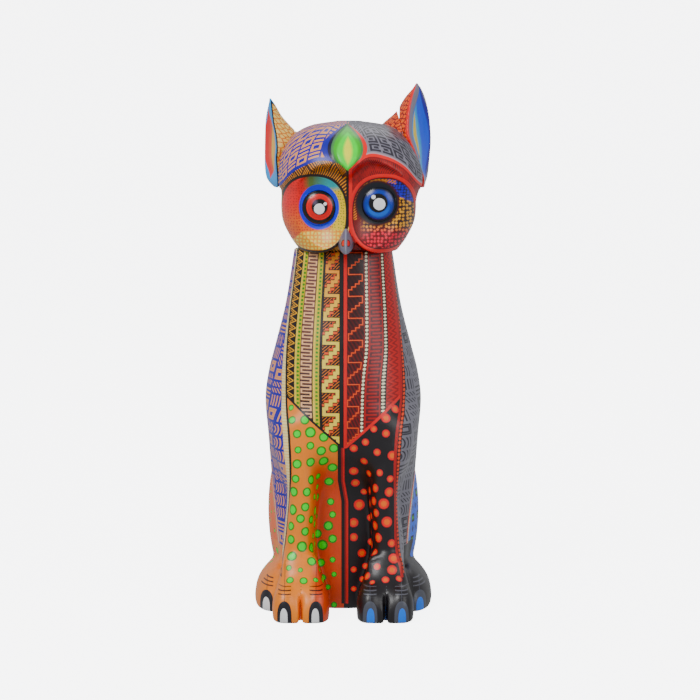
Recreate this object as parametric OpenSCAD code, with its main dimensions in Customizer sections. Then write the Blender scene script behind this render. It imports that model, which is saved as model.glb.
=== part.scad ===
// Seated owl-headed cat, a carved and painted copal-wood figure.
// Millimetres. The figure faces -Y, its left side as seen from the front is -X, and it stands on z = 0.

/* [Body] */
// Height of the neck seam, where the head sits on the body
body_h = 262; // [220:1:320]
// Widest width of the body, across the haunches and the shoulders
body_w = 114; // [100:1:140]
// Width of the neck at the seam
neck_w = 73; // [60:1:88]
// Depth of the neck at the seam
neck_d = 70; // [60:1:84]
// How far the chest stands in front of the neck's axis
chest_front = 56; // [50:1:68]
// How far the rump stands behind the neck's axis
rump_back = 88; // [74:1:106]
// Height of the fullest part of the chest
chest_z = 150; // [140:1:166]

/* [Forelegs] */
// Plane where the forelegs are glued to the belly, in front of the neck's axis
leg_seam = 30; // [26:1:34]
// Height of the forelegs, up to the seam under the chest
leg_h = 112; // [98:1:122]
// Distance between the centres of the two forelegs
leg_gap = 58; // [54:1:64]
// Width of a foreleg at its thinnest
leg_w = 24; // [20:1:28]
// Reach of the front paws in front of the neck's axis
paw_reach = 88; // [80:1:100]
// Width of a front paw
paw_w = 41; // [34:1:43]
// Height of a paw
paw_h = 30; // [24:1:36]

/* [Hind paws] */
// Plane where the hind paws are glued to the sides of the body
hind_seam = 49.5; // [48:0.5:51]
// Reach of the hind paws in front of the neck's axis
hind_reach = 51; // [46:1:56]
// Reach of the hind paws behind the neck's axis
hind_back = 22; // [14:1:30]
// Half of the full width across the hind paws
hind_out = 66; // [62:1:74]

/* [Head] */
// Height of the head above the neck seam, without the ears
head_h = 94; // [80:1:114]
// Width of the face, across the two facial discs
face_w = 101; // [92:1:116]
// Depth of the head in front of its axis
brow_front = 58; // [52:1:66]
// Depth of the head behind its axis
skull_back = 44; // [38:1:52]
// Sideways shift of the carved head on the neck
head_shift = 4; // [0:0.5:6]
// Depth of the hollow facial discs
disc_depth = 10; // [6:0.5:12]

/* [Eyes and beak] */
// Distance between the eyes
eye_gap = 42; // [38:1:44]
// Diameter of a turned eye plug
eye_d = 27; // [22:0.5:28]
// Height of the left eye above the neck seam
eye_z_left = 33; // [30:0.5:36]
// Height of the right eye above the neck seam
eye_z_right = 36; // [32:0.5:38]
// Length of the straight part of an eye plug
eye_seat = 11; // [8:0.5:14]
// Height of an eye's dome
eye_dome = 6; // [4:0.5:8]
// Height of the beak
beak_h = 18; // [14:0.5:22]
// Width of the beak
beak_w = 11; // [8:0.5:14]
// How far the beak stands out from the face
beak_out = 14; // [10:0.5:18]

/* [Ears] */
// Height of the left ear's tip above the top of the head
ear_rise_left = 16; // [8:1:30]
// Height of the right ear's tip above the top of the head
ear_rise_right = 27; // [8:1:36]
// Half width of the head at the lower end of an ear's seam
ear_seat_low = 51; // [48:0.5:53]
// Half width of the head at the upper end of an ear's seam
ear_seat_high = 39; // [36:0.5:42]
// Depth of an ear from front to back
ear_d = 46; // [36:1:56]
// Thickness of an ear at the brow
ear_t = 13; // [9:0.5:16]
// Forward turn of the right ear's hollow, as a sideways flare
ear_flare = 3; // [0:0.5:6]

/* [Tail] */
// Height of the tail's root
tail_z = 34; // [28:1:44]
// Height of the tail's upper bend
tail_top = 128; // [100:1:150]
// Thickness of the tail at its root
tail_d = 21; // [16:0.5:24]
// How far the tail stands behind the rump
tail_back = 30; // [26:1:40]

/* [Dowels] */
// Diameter of the neck dowel
neck_dowel_d = 16; // [10:0.5:20]
// Length of the neck dowel
neck_dowel_l = 56; // [40:1:70]
// Diameter of the dowels in the forelegs
leg_dowel_d = 6; // [4:0.5:8]
// Length of the dowels in the forelegs
leg_dowel_l = 30; // [20:1:34]
// Diameter of the dowels in the hind paws
paw_dowel_d = 5; // [4:0.5:6]
// Length of the dowels in the hind paws
paw_dowel_l = 18; // [12:1:20]
// Diameter of the pegs of the ears
ear_peg_d = 7; // [5:0.5:9]
// Length of the pegs of the ears
ear_peg_l = 20; // [16:1:22]
// Diameter of the peg of the tail
tail_peg_d = 9; // [6:0.5:12]
// Length of the peg of the tail
tail_peg_l = 34; // [24:1:40]
// Gap around glued and push-in pieces
fit = 0.05; // [0.02:0.01:0.1]

/* [Hidden] */

sides = 64;
head_sides = 88;
step = 8;
head_step = 3;
round_fn = 64;
far = 200;

// Places that follow from the sizes
head_z = body_h;
brow_z = head_z + head_h / 2;
tuck_z = leg_h - 22;
leg_x = leg_gap / 2;
paw_keel = leg_x - paw_w / 2 - 1;
leg_keel = leg_x - leg_w / 2 - 2;
brow_overhang = 7;
tenon_trim = 4;
beak_shift = 2;
peg_share = 0.65;
seat_low_z = brow_z - 1;
seat_high_z = head_z + head_h - 6;
seat_tilt = atan((ear_seat_low - ear_seat_high) / (seat_high_z - seat_low_z));
ear_mid_z = (seat_low_z + seat_high_z) / 2;
seat_step = 1.5;
ear_mid_x = (ear_seat_low + ear_seat_high) / 2;
eye_back = brow_front - brow_overhang - disc_depth - eye_seat;
beak_z = head_z + 9;
beak_back = brow_front - disc_depth;
rump_seat = rump_back - 3;
tail_rim = 2;
hind_top = paw_h - 2;

// Power of a number that keeps its sign, for squared-off ovals
function signed_pow(v, p) = sign(v) * pow(abs(v), p);
function mix(a, b, t) = a + (b - a) * t;
// A round swelling: 1 at its centre, 0 from its edge outwards
function bump(a, b) = pow(max(0, 1 - a * a - b * b), 1.5);

// Smooth curve through stations of [place, value]
function span_at(s, t, i = 0) = i >= len(s) - 2 || t < s[i + 1][0] ? i : span_at(s, t, i + 1);
function slope(s, i) =
    let (a = max(i - 1, 0), b = min(i + 1, len(s) - 1))
    (s[b][1] - s[a][1]) / (s[b][0] - s[a][0]);
function curve(s, t) =
    let (i = span_at(s, t), w = s[i + 1][0] - s[i][0], u = (t - s[i][0]) / w)
    (2 * pow(u, 3) - 3 * pow(u, 2) + 1) * s[i][1] + (pow(u, 3) - 2 * pow(u, 2) + u) * w * slope(s, i)
    + (3 * pow(u, 2) - 2 * pow(u, 3)) * s[i + 1][1] + (pow(u, 3) - pow(u, 2)) * w * slope(s, i + 1);

// One level of a carved form: an oval with its own depth in front (f) and behind (b)
function level(z, x0, y0, w, f, b, p, n = sides) = [for (i = [0:n - 1])
    let (t = 360 * (i + 0.5) / n, c = cos(t), s = sin(t))
    [x0 + w * signed_pow(c, p), y0 + (s < 0 ? f : b) * signed_pow(s, p), z]];

// Heights from one end to the other in even steps
function heights(from, to, by) =
    let (n = ceil((to - from) / by)) [for (i = [0:n]) mix(from, to, i / n)];

function middle(r) = [for (k = [0:2]) let (v = [for (p = r) p[k]]) (min(v) + max(v)) / 2];

// Closed solid through a stack of levels
module skin(rings) {
    n = len(rings[0]);
    m = len(rings);
    low = m * n;
    high = low + 1;
    bottom = [for (i = [0:n - 1]) [low, i, (i + 1) % n]];
    top = [for (i = [0:n - 1]) [high, (m - 1) * n + (i + 1) % n, (m - 1) * n + i]];
    wall = [for (j = [0:m - 2]) for (i = [0:n - 1])
        let (k = (i + 1) % n, a = j * n, b = a + n)
        each [[a + i, b + i, b + k], [a + i, b + k, a + k]]];
    polyhedron(
        points = concat([for (r = rings) each r], [middle(rings[0]), middle(rings[m - 1])]),
        faces = concat(bottom, wall, top));
}

// A peg or its hole along +Z
module rod(d, l) cylinder(d = d, h = l, $fn = round_fn);

// ---------- body ----------

torso_side = [[0, body_w / 2 - 5], [tuck_z / 2, body_w / 2 - 4], [tuck_z + 14, body_w / 2],
    [chest_z, body_w / 2], [mix(chest_z, body_h, 0.37), mix(body_w, neck_w, 0.34) / 2],
    [mix(chest_z, body_h, 0.65), mix(body_w, neck_w, 0.7) / 2], [body_h, neck_w / 2]];
torso_front = [[0, leg_seam + 4], [tuck_z - 6, leg_seam + 7], [leg_h, chest_front - 2],
    [chest_z, chest_front], [mix(chest_z, body_h, 0.4), mix(chest_front, neck_d / 2, 0.34)],
    [body_h, neck_d / 2]];
torso_back = [[0, rump_back - 5], [22, rump_back], [60, rump_back - 3], [leg_h, rump_back - 14],
    [chest_z, mix(rump_back, neck_d / 2, 0.5)], [mix(chest_z, body_h, 0.4), neck_d / 2 + 14],
    [body_h, neck_d / 2]];

// Space outwards of x, in front of y and below z, on one side
module corner_cut(side, x, y, z) {
    translate([side * (x + far / 2), y - far / 2, z - far / 2]) cube(far, center = true);
}

module torso() {
    color("darkorange")
    difference() {
        skin([for (z = heights(0, body_h, step))
            level(z, 0, 0, curve(torso_side, z), curve(torso_front, z), curve(torso_back, z), 0.86)]);
        for (side = [-1, 1]) {
            // flat seats of the foreleg, its paw and the hind paw
            corner_cut(side, leg_keel, -leg_seam, leg_h);
            corner_cut(side, paw_keel, -leg_seam, paw_h + 4);
            corner_cut(side, hind_seam, hind_back, hind_top);
        }
        neck_rod(fit);
        foreleg_rods(fit);
        hind_paw_rods(fit);
        // flat seat and hole of the tail
        translate([0, rump_seat, tail_z]) rotate([-90, 0, 0]) rod(tail_d + tail_rim, far);
        tail_rod(fit);
    }
}

// ---------- forelegs with their paws ----------

leg_half = [[0, paw_w / 2 - 1], [4, paw_w / 2], [paw_h / 2, paw_w / 2 - 1],
    [paw_h, leg_w / 2 + 2], [paw_h + 18, leg_w / 2], [tuck_z, leg_w / 2 - 0.5], [leg_h, leg_w / 2 + 5]];
// Sideways lean of a foreleg away from the middle
leg_lean = [[0, 0], [paw_h, 1], [tuck_z, 1], [leg_h, 3 + leg_w / 8]];
leg_toe = [[0, paw_reach - 2], [4, paw_reach], [paw_h * 0.45, paw_reach - 2], [paw_h * 0.8, paw_reach - 14],
    [paw_h + 8, leg_seam + 34], [paw_h + 36, leg_seam + 29], [leg_h - 14, leg_seam + 28],
    [leg_h, chest_front - 1]];

module foreleg(side) {
    color(side < 0 ? "orange" : "dimgray")
    difference() {
        skin([for (z = heights(0, leg_h, step / 2))
            let (reach = curve(leg_toe, z), mid = (reach + leg_seam) / 2, half = reach - mid)
            let (x = side * (leg_x + curve(leg_lean, z)), wide = curve(leg_half, z))
            [for (p = level(z, x, -mid, wide, half, half + 6, 0.72, sides / 2))
                [p[0], min(p[1], -leg_seam), z]]]);
        foreleg_rods(fit);
    }
}

module foreleg_left() foreleg(-1);
module foreleg_right() foreleg(1);

// Dowels across the seams of the forelegs, two in each
module foreleg_rods(gap) {
    for (side = [-1, 1], z = [paw_h + 10, leg_h - 24])
        translate([side * leg_x, -leg_seam - leg_dowel_l / 2 - gap, z])
            rotate([-90, 0, 0]) rod(leg_dowel_d + 2 * gap, leg_dowel_l + 2 * gap);
}

module foreleg_dowels() color("burlywood") foreleg_rods(0);

// ---------- hind paws ----------

hind_side = [[0, hind_out - 2], [4, hind_out], [paw_h / 2, hind_out - 1], [hind_top, hind_seam + 8]];
hind_toe = [[0, hind_reach - 1], [4, hind_reach], [paw_h / 2, hind_reach - 3], [hind_top, hind_reach - 22]];

module hind_paw(side) {
    color(side < 0 ? "orange" : "dimgray")
    difference() {
        skin([for (z = heights(0, hind_top, step / 2))
            let (half = (curve(hind_side, z) - hind_seam + 6) / 2, toe = curve(hind_toe, z))
            [for (p = level(z, side * (hind_seam + half - 6), 0, half, toe, hind_back, 0.7, sides / 2))
                [side * max(side * p[0], hind_seam), p[1], z]]]);
        hind_paw_rods(fit);
    }
}

module hind_paw_left() hind_paw(-1);
module hind_paw_right() hind_paw(1);

module hind_paw_rods(gap) {
    for (side = [-1, 1])
        translate([side * (hind_seam - paw_dowel_l / 2 - gap), -6, paw_h * 0.4])
            rotate([0, side * 90, 0]) rod(paw_dowel_d + 2 * gap, paw_dowel_l + 2 * gap);
}

module hind_paw_dowels() color("burlywood") hind_paw_rods(0);

// ---------- head ----------

head_side = [[0, neck_w / 2], [12, face_w / 2 - 5], [24, face_w / 2], [head_h / 2 - 4, face_w / 2],
    [head_h / 2 + 6, face_w / 2 + 3], [head_h * 0.75, face_w / 2], [head_h - 8, face_w / 2 - 14],
    [head_h - 2, 20], [head_h, 10]];
head_front = [[0, brow_front - 14], [12, brow_front - 9], [26, brow_front - 7],
    [head_h / 2 - 5, brow_front - 6], [head_h / 2 + 6, brow_front], [head_h * 0.72, brow_front - 3],
    [head_h - 12, brow_front - 16], [head_h - 2, 20], [head_h, 10]];
head_back = [[0, neck_d / 2], [20, skull_back - 3], [head_h / 2, skull_back], [head_h * 0.72, skull_back - 4],
    [head_h - 10, skull_back - 14], [head_h - 2, 16], [head_h, 8]];

// Relief of the face: two hollow discs and an almond-shaped boss on the forehead
disc_x = eye_gap / 2 + 1;
disc_z = 27;
disc_w = 24;
disc_h = 26;
boss_out = 4;
boss_z = head_h * 0.78;
boss_w = 10;
boss_h = 18;
function face_relief(x, z) =
    disc_depth * bump((abs(x) - disc_x) / disc_w, (z - disc_z) / disc_h)
    - boss_out * bump(x / boss_w, (z - boss_z) / boss_h);

module head() {
    color("firebrick")
    difference() {
        skin([for (h = heights(0, head_h, head_step))
            [for (p = level(head_z + h, head_shift, 0, curve(head_side, h), curve(head_front, h),
                    curve(head_back, h), 0.74, head_sides))
                [p[0], p[1] < 0 ? p[1] + face_relief(p[0] - head_shift, h) : p[1], p[2]]]]);
        for (side = [-1, 1]) {
            ear_seat(side);
            ear_rod(side, fit);
            eye_hole(side);
        }
        neck_rod(fit);
        beak_root(fit);
    }
}

module neck_rod(gap) {
    translate([0, 0, body_h - neck_dowel_l / 2 - gap]) rod(neck_dowel_d + 2 * gap, neck_dowel_l + 2 * gap);
}

module neck_dowel() color("burlywood") neck_rod(0);

// ---------- eyes ----------

function eye_z(side) = head_z + (side < 0 ? eye_z_left : eye_z_right);

module eye_hole(side) {
    translate([head_shift + side * eye_gap / 2, -eye_back, eye_z(side)])
        rotate([90, 0, 0]) rod(eye_d + 2 * fit, far);
}

// Turned plug with a domed front
module eye(side) {
    color(side < 0 ? "firebrick" : "royalblue")
    translate([head_shift + side * eye_gap / 2, -eye_back, eye_z(side)])
        rotate([90, 0, 0])
        intersection() {
            rod(eye_d, eye_seat + eye_dome);
            translate([0, 0, eye_seat + eye_dome - eye_d * 0.9]) sphere(r = eye_d * 0.9, $fn = round_fn);
        }
}

module eye_left() eye(-1);
module eye_right() eye(1);

// ---------- beak ----------

// Square tenon of the beak and its mortise
module beak_root(gap) {
    translate([head_shift - beak_shift, -beak_back, beak_z])
        cube([beak_w - tenon_trim + 2 * gap, beak_out + 2 * gap, beak_h / 2 + 2 * gap], center = true);
}

module beak() {
    w = beak_w / 2;
    root = beak_out / 4;
    color("silver")
    union() {
        beak_root(0);
        translate([head_shift - beak_shift, -beak_back, beak_z])
            polyhedron(
                points = [[-w, -root, 0.25 * beak_h], [w, -root, 0.25 * beak_h], [0, -root, 0.5 * beak_h],
                    [-w, -root, -0.2 * beak_h], [w, -root, -0.2 * beak_h], [0, -root, -0.5 * beak_h],
                    [0, -beak_out * 0.75, 0.15 * beak_h], [0, -beak_out, -0.35 * beak_h]],
                faces = [[2, 0, 3, 5, 4, 1], [2, 6, 0], [2, 1, 6], [0, 6, 7], [0, 7, 3], [1, 7, 6], [1, 4, 7],
                    [3, 7, 5], [4, 5, 7]]);
    }
}

// ---------- ears ----------

// Slanted flat seat on the side of the head
module ear_seat(side) {
    translate([head_shift + side * ear_mid_x, 0, ear_mid_z])
        rotate([0, -side * seat_tilt, 0])
        translate([side * far / 2, 0, (far - seat_high_z + seat_low_z) / 2 - seat_step])
        cube(far, center = true);
}

// Peg square to the ear's seat, from inside the ear into the head
module ear_rod(side, gap) {
    translate([head_shift + side * ear_mid_x, 0, ear_mid_z])
        rotate([0, side * (90 - seat_tilt), 0])
        translate([0, 0, -ear_peg_l * peg_share - gap])
        rod(ear_peg_d + 2 * gap, ear_peg_l + 2 * gap);
}

// One level of an ear: a straight inner side and a bowed outer side with a hollow in it
function leaf(z, in, out, half, hollow) = concat(
    [for (i = [0:leaf_n])
        let (t = -90 + 180 * i / leaf_n, bow = pow(max(0, cos(t)), 0.8))
        [in + (out - in) * bow - hollow * bump(sin(t) / 0.8, 0), half * sin(t), z]],
    [for (i = [1:flat_n - 1]) [in, half * (1 - 2 * i / flat_n), z]]);
leaf_n = 24;
flat_n = 8;

// Leaf-shaped ear: flat against its seat, hollow on its outer face, drawn up to a point
module ear(side) {
    tip = head_z + head_h + (side < 0 ? ear_rise_left : ear_rise_right);
    flare = side < 0 ? 0 : ear_flare;
    rise = tip - seat_low_z;
    seat_end = (seat_high_z - seat_low_z) / rise;
    tip_x = ear_mid_x + ear_t * 0.8;
    outer = [[0, ear_seat_low + ear_t * 0.5], [0.15, ear_seat_low + ear_t * 0.85],
        [0.6, ear_seat_low + ear_t * 0.6 + flare], [0.85, tip_x + 4 + flare], [1, tip_x + 1]];
    half_d = [[0, ear_d * 0.28], [0.15, ear_d * 0.42], [0.45, ear_d / 2], [0.8, ear_d * 0.27], [1, 1.5]];
    color(side < 0 ? "skyblue" : "mediumpurple")
    difference() {
        translate([head_shift, 2, 0])
            mirror([side < 0 ? 1 : 0, 0, 0])
            skin([for (z = heights(seat_low_z, tip, step / 2))
                let (u = (z - seat_low_z) / rise, above = max(0, (u - seat_end) / (1 - seat_end)))
                let (along = (z - seat_low_z) / (seat_high_z - seat_low_z))
                let (seat_x = fit + mix(ear_seat_low, ear_seat_high, along))
                leaf(z, mix(seat_x, tip_x - 1, pow(above, 0.8)), curve(outer, u), curve(half_d, u),
                    3.5 * bump((u - 0.42) / 0.42, 0))]);
        ear_rod(side, fit);
    }
}

module ear_left() ear(-1);
module ear_right() ear(1);
module ear_peg_left() color("burlywood") ear_rod(-1, 0);
module ear_peg_right() color("burlywood") ear_rod(1, 0);

// ---------- tail ----------

// The tail leaves the rump, turns up and leans back over at its tip
tail_out = [[0, 0], [0.08, 6], [0.3, tail_back - 9], [0.6, tail_back - 10], [1, tail_back - 3]];
tail_up = [[0, 0], [0.08, 0], [0.3, 14], [0.6, (tail_top - tail_z) * 0.6], [1, tail_top - tail_z]];
function tail_y(t) = rump_seat + fit + curve(tail_out, t);
function tail_height(t) = tail_z + curve(tail_up, t);
function tail_r(t) =
    let (rounding = t > 0.9 ? sqrt(max(0.1, 1 - pow((t - 0.9) / 0.1, 2))) : 1)
    tail_d / 2 * (1 - 0.45 * t) * rounding;

module tail() {
    n = 30;
    color("royalblue")
    difference() {
        skin([for (j = [0:n])
            let (t = j / n, d = 0.01, r = tail_r(t))
            let (dy = tail_y(t + d) - tail_y(t - d), dz = tail_height(t + d) - tail_height(t - d))
            let (a = j == 0 ? 0 : atan2(dz, dy))
            [for (i = [0:23]) let (q = -15 * i)
                [r * cos(q), tail_y(t) - r * sin(q) * sin(a), tail_height(t) + r * sin(q) * cos(a)]]]);
        tail_rod(fit);
    }
}

module tail_rod(gap) {
    translate([0, rump_seat - tail_peg_l * 0.7 - gap, tail_z])
        rotate([-90, 0, 0]) rod(tail_peg_d + 2 * gap, tail_peg_l + 2 * gap);
}

module tail_peg() color("burlywood") tail_rod(0);

torso();
foreleg_left();
foreleg_right();
hind_paw_left();
hind_paw_right();
head();
eye_left();
eye_right();
beak();
ear_left();
ear_right();
tail();
neck_dowel();
foreleg_dowels();
hind_paw_dowels();
ear_peg_left();
ear_peg_right();
tail_peg();
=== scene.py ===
import math

import bpy
import numpy as np
import openvdb as vdb
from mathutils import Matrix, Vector
from mathutils.kdtree import KDTree


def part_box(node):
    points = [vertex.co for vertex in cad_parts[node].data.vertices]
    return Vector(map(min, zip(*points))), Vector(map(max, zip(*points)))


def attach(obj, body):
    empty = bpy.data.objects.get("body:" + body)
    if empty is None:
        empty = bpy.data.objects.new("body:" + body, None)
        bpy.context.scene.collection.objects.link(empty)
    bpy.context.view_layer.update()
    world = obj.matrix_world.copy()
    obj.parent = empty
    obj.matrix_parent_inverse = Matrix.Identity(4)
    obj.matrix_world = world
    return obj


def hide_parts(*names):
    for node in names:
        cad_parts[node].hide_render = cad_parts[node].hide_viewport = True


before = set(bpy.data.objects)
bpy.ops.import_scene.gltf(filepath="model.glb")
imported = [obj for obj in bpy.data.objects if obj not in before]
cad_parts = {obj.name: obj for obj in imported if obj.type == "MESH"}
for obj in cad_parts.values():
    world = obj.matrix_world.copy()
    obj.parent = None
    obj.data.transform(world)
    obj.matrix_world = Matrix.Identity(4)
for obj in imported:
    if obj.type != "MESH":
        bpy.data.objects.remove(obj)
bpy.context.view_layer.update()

# The figure is shaped in millimetres and turned to metres when a mesh is made.
MM = 0.001


def mm_box(node):
    """The lowest and highest corners of a CAD node in millimetres."""
    lo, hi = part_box(node)
    return np.array(lo) / MM, np.array(hi) / MM


TORSO_LO, TORSO_HI = mm_box("torso")
LEG_LO, LEG_HI = mm_box("foreleg_right")
HIND_LO, HIND_HI = mm_box("hind_paw_right")
HEAD_LO, HEAD_HI = mm_box("head")

BODY_H = TORSO_HI[2]
HALF_W = TORSO_HI[0]
CHEST = -TORSO_LO[1]
RUMP = TORSO_HI[1]
LEG_X = (LEG_LO[0] + LEG_HI[0]) / 2
LEG_H = LEG_HI[2]
LEG_SEAM = -LEG_HI[1]
PAW_TIP = -LEG_LO[1]
HEAD_X = (HEAD_LO[0] + HEAD_HI[0]) / 2
HEAD_H = HEAD_HI[2] - BODY_H
BODY_VOXEL = 1.2
HEAD_VOXEL = 0.76
EAR_VOXEL = 0.45


# ---------- shaping with fields: negative inside, zero on the surface ----------

def curve(stations, t):
    """Smooth curve through stations of (place, value)."""
    px = np.array([s[0] for s in stations], float)
    pv = np.array([s[1] for s in stations], float)
    slope = np.gradient(pv, px)
    slope[1:-1] = (pv[2:] - pv[:-2]) / (px[2:] - px[:-2])
    t = np.clip(t, px[0], px[-1])
    i = np.clip(np.searchsorted(px, t, side="right") - 1, 0, len(px) - 2)
    w = px[i + 1] - px[i]
    u = (t - px[i]) / w
    return (
        (2 * u**3 - 3 * u**2 + 1) * pv[i] + (u**3 - 2 * u**2 + u) * w * slope[i]
        + (3 * u**2 - 2 * u**3) * pv[i + 1] + (u**3 - u**2) * w * slope[i + 1]
    )


def mix(a, b, t):
    return a + (b - a) * t


def smooth(lo, hi, t):
    u = np.clip((t - lo) / (hi - lo), 0, 1)
    return u * u * (3 - 2 * u)


def oval(x, y, half_w, front, back, power):
    """Squared-off oval round the Z axis with its own depth in front and behind."""
    depth = np.where(y < 0, front, back)
    k = (np.abs(x / half_w) ** (2 / power) + np.abs(y / depth) ** (2 / power)) ** (power / 2)
    return (k - 1) * np.minimum(half_w, depth)


def ball(x, y, z, centre, radii):
    k = np.sqrt(sum(((a - c) / r) ** 2 for a, c, r in zip((x, y, z), centre, radii)))
    return (k - 1) * min(radii)


def pebble(x, y, z, centre, radii, power=2.7):
    """A ball with fuller shoulders."""
    k = sum(np.abs((a - c) / r) ** power for a, c, r in zip((x, y, z), centre, radii)) ** (1 / power)
    return (k - 1) * min(radii)


def join(a, b, k):
    """Union of two fields with a fillet of about k."""
    h = np.clip(0.5 + 0.5 * (b - a) / k, 0, 1)
    return b * (1 - h) + a * h - k * h * (1 - h)


def carve(a, b, k):
    """What both fields have in common, with an edge rounded by about k."""
    return -join(-a, -b, k)


def space(lo, hi, voxel):
    """Coordinates of a block of points with a margin."""
    axes = [np.arange(l - 3 * voxel, h + 4 * voxel, voxel) for l, h in zip(lo, hi)]
    x, y, z = np.meshgrid(*axes, indexing="ij", sparse=True)
    return x, y, z


def new_object(name, points, faces):
    mesh = bpy.data.meshes.new(name)
    mesh.from_pydata((np.asarray(points) * MM).tolist(), [], [tuple(map(int, f)) for f in faces])
    mesh.validate()
    obj = bpy.data.objects.new(name, mesh)
    bpy.context.scene.collection.objects.link(obj)
    return obj


def carved(name, shape, lo, hi, voxel):
    """Mesh of the zero surface of a field."""
    x, y, z = space(lo, hi, voxel)
    field = np.clip(shape(x, y, z), -4 * voxel, 4 * voxel).astype(np.float32)
    grid = vdb.FloatGrid(4 * voxel)
    grid.copyFromArray(field)
    points, quads = grid.convertToQuads(isovalue=0)
    start = np.array([x.min(), y.min(), z.min()])
    return new_object(name, points * voxel + start, quads[:, ::-1])


def applied(obj):
    """Replaces an object's mesh by what its modifiers make of it."""
    graph = bpy.context.evaluated_depsgraph_get()
    mesh = bpy.data.meshes.new_from_object(obj.evaluated_get(graph))
    obj.modifiers.clear()
    old = obj.data
    obj.data = mesh
    bpy.data.meshes.remove(old)
    return obj


def block(name, lo, hi):
    corners = [(x, y, z) for x in (lo[0], hi[0]) for y in (lo[1], hi[1]) for z in (lo[2], hi[2])]
    faces = [(0, 1, 3, 2), (4, 6, 7, 5), (0, 4, 5, 1), (2, 3, 7, 6), (0, 2, 6, 4), (1, 5, 7, 3)]
    return new_object(name, corners, faces)


def upright(name, outline, bottom, top):
    """A straight-sided block with any outline, seen from above."""
    turning = sum(a[0] * b[1] - b[0] * a[1] for a, b in zip(outline, outline[1:] + outline[:1]))
    if turning < 0:
        outline = outline[::-1]
    n = len(outline)
    points = [(x, y, z) for z in (bottom, top) for x, y in outline]
    faces = [tuple(range(n))[::-1], tuple(range(n, 2 * n))]
    faces += [(i, (i + 1) % n, (i + 1) % n + n, i + n) for i in range(n)]
    return new_object(name, points, faces)


def split(obj, tool, name):
    """Cuts obj along the tool's faces: returns the piece inside the tool and keeps the rest in obj."""
    piece = obj.copy()
    piece.data = obj.data.copy()
    piece.name = name
    bpy.context.scene.collection.objects.link(piece)
    for target, operation in ((piece, "INTERSECT"), (obj, "DIFFERENCE")):
        mod = target.modifiers.new("cut", "BOOLEAN")
        mod.solver = "MANIFOLD"
        mod.operation = operation
        mod.object = tool
        applied(target)
    return piece


def remove(obj):
    bpy.data.objects.remove(obj)


# ---------- body with legs and paws ----------

def body_field(x, y, z):
    trunk = oval(
        x, y,
        curve([(0, 45), (40, 48), (85, 52.5), (125, HALF_W - 2), (152, HALF_W), (172, HALF_W - 2.5),
               (192, 50), (222, 42.5), (BODY_H, 36)], z),
        curve([(0, LEG_SEAM + 8), (60, LEG_SEAM + 8), (86, LEG_SEAM + 9), (104, LEG_SEAM + 16),
               (122, CHEST - 2), (150, CHEST), (192, 49), (222, 42), (BODY_H, 35)], z),
        curve([(0, RUMP - 6), (22, RUMP), (60, RUMP - 2), (112, RUMP - 14), (150, 61), (192, 50),
               (222, 42), (BODY_H, 35)], z),
        0.88,
    )
    shape = trunk
    for side in (-1, 1):
        haunch = ball(x, y, z, (side * (HALF_W - 22.5), 36, 62), (22, 46, 62))
        shape = join(shape, haunch, 3)
    for side in (-1, 1):
        reach = curve([(0, 68), (14, 70), (30, 66), (46, 61.5), (80, 60), (104, 59), (122, 57), (150, 50)], z)
        half = (reach - 16) / 2
        leg = oval(
            x - side * curve([(0, LEG_X), (30, LEG_X + 1), (50, LEG_X + 2), (85, LEG_X - 0.5), (115, LEG_X + 2),
                              (150, LEG_X + 2)], z),
            y + 16 + half,
            curve([(0, 17), (12, 18.5), (24, 16), (36, 12.8), (52, 11.8), (85, 11), (104, 13), (125, 17), (150, 16)], z),
            half, half, 0.85,
        )
        leg = carve(leg, z - 142, 8)
        shape = join(shape, leg, 3 + 12 * smooth(70, 118, z))
        paw = oval(
            x - side * LEG_X, y + PAW_TIP - 26,
            curve([(0, 19.5), (10, 19.5), (22, 17.5), (34, 13.5), (48, 11.5)], z),
            curve([(0, 25), (9, 25.4), (20, 20), (32, 8), (44, 1)], z), 14, 0.8,
        )
        shape = join(shape, carve(paw, z - 44, 6), 5)
        for toe_x in (LEG_X - 10.6, LEG_X + 10.6):
            toe = pebble(x, y, z, (side * toe_x, -(PAW_TIP - 16), 8), (9.9, 15.8, 18), 2.3)
            shape = join(shape, toe, 2.2)
        groove = np.hypot((x - side * LEG_X) / 1.3, (y + PAW_TIP - 4) / (3 + 0.1 * np.clip(28 - z, 0, 28))) - 1
        shape = carve(shape, -np.maximum(groove * 1.3, z - 30), 2.2)
        wide = HIND_HI[0] - HIND_LO[0] + 1.7
        hind = oval(
            x - side * (HIND_LO[0] - 2), y,
            curve([(0, wide - 0.6), (6, wide), (14, wide - 1.6), (20, wide - 5), (26, wide - 11), (31, wide - 18)], z),
            curve([(0, -HIND_LO[1] - 0.8), (6, -HIND_LO[1] - 0.2), (14, -HIND_LO[1] - 3), (20, -HIND_LO[1] - 9),
                   (26, -HIND_LO[1] - 18), (31, -HIND_LO[1] - 30)], z), 34, 0.78,
        )
        hind = carve(hind, z - 31, 7)
        crease = np.hypot((x - side * (HIND_LO[0] + 13)) / 1.4, (y - HIND_LO[1]) / 5) - 1
        hind = carve(hind, -np.maximum(crease * 1.4, z - 18), 2)
        shape = join(shape, hind, 3)
    shape = carve(shape, -z, 1.5)
    seat = np.maximum(np.hypot(x, z - TAIL_Z) - TAIL_R - 0.3, TAIL_ROOT - y)
    return np.maximum(np.maximum(shape, -seat), z - BODY_H)


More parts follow.
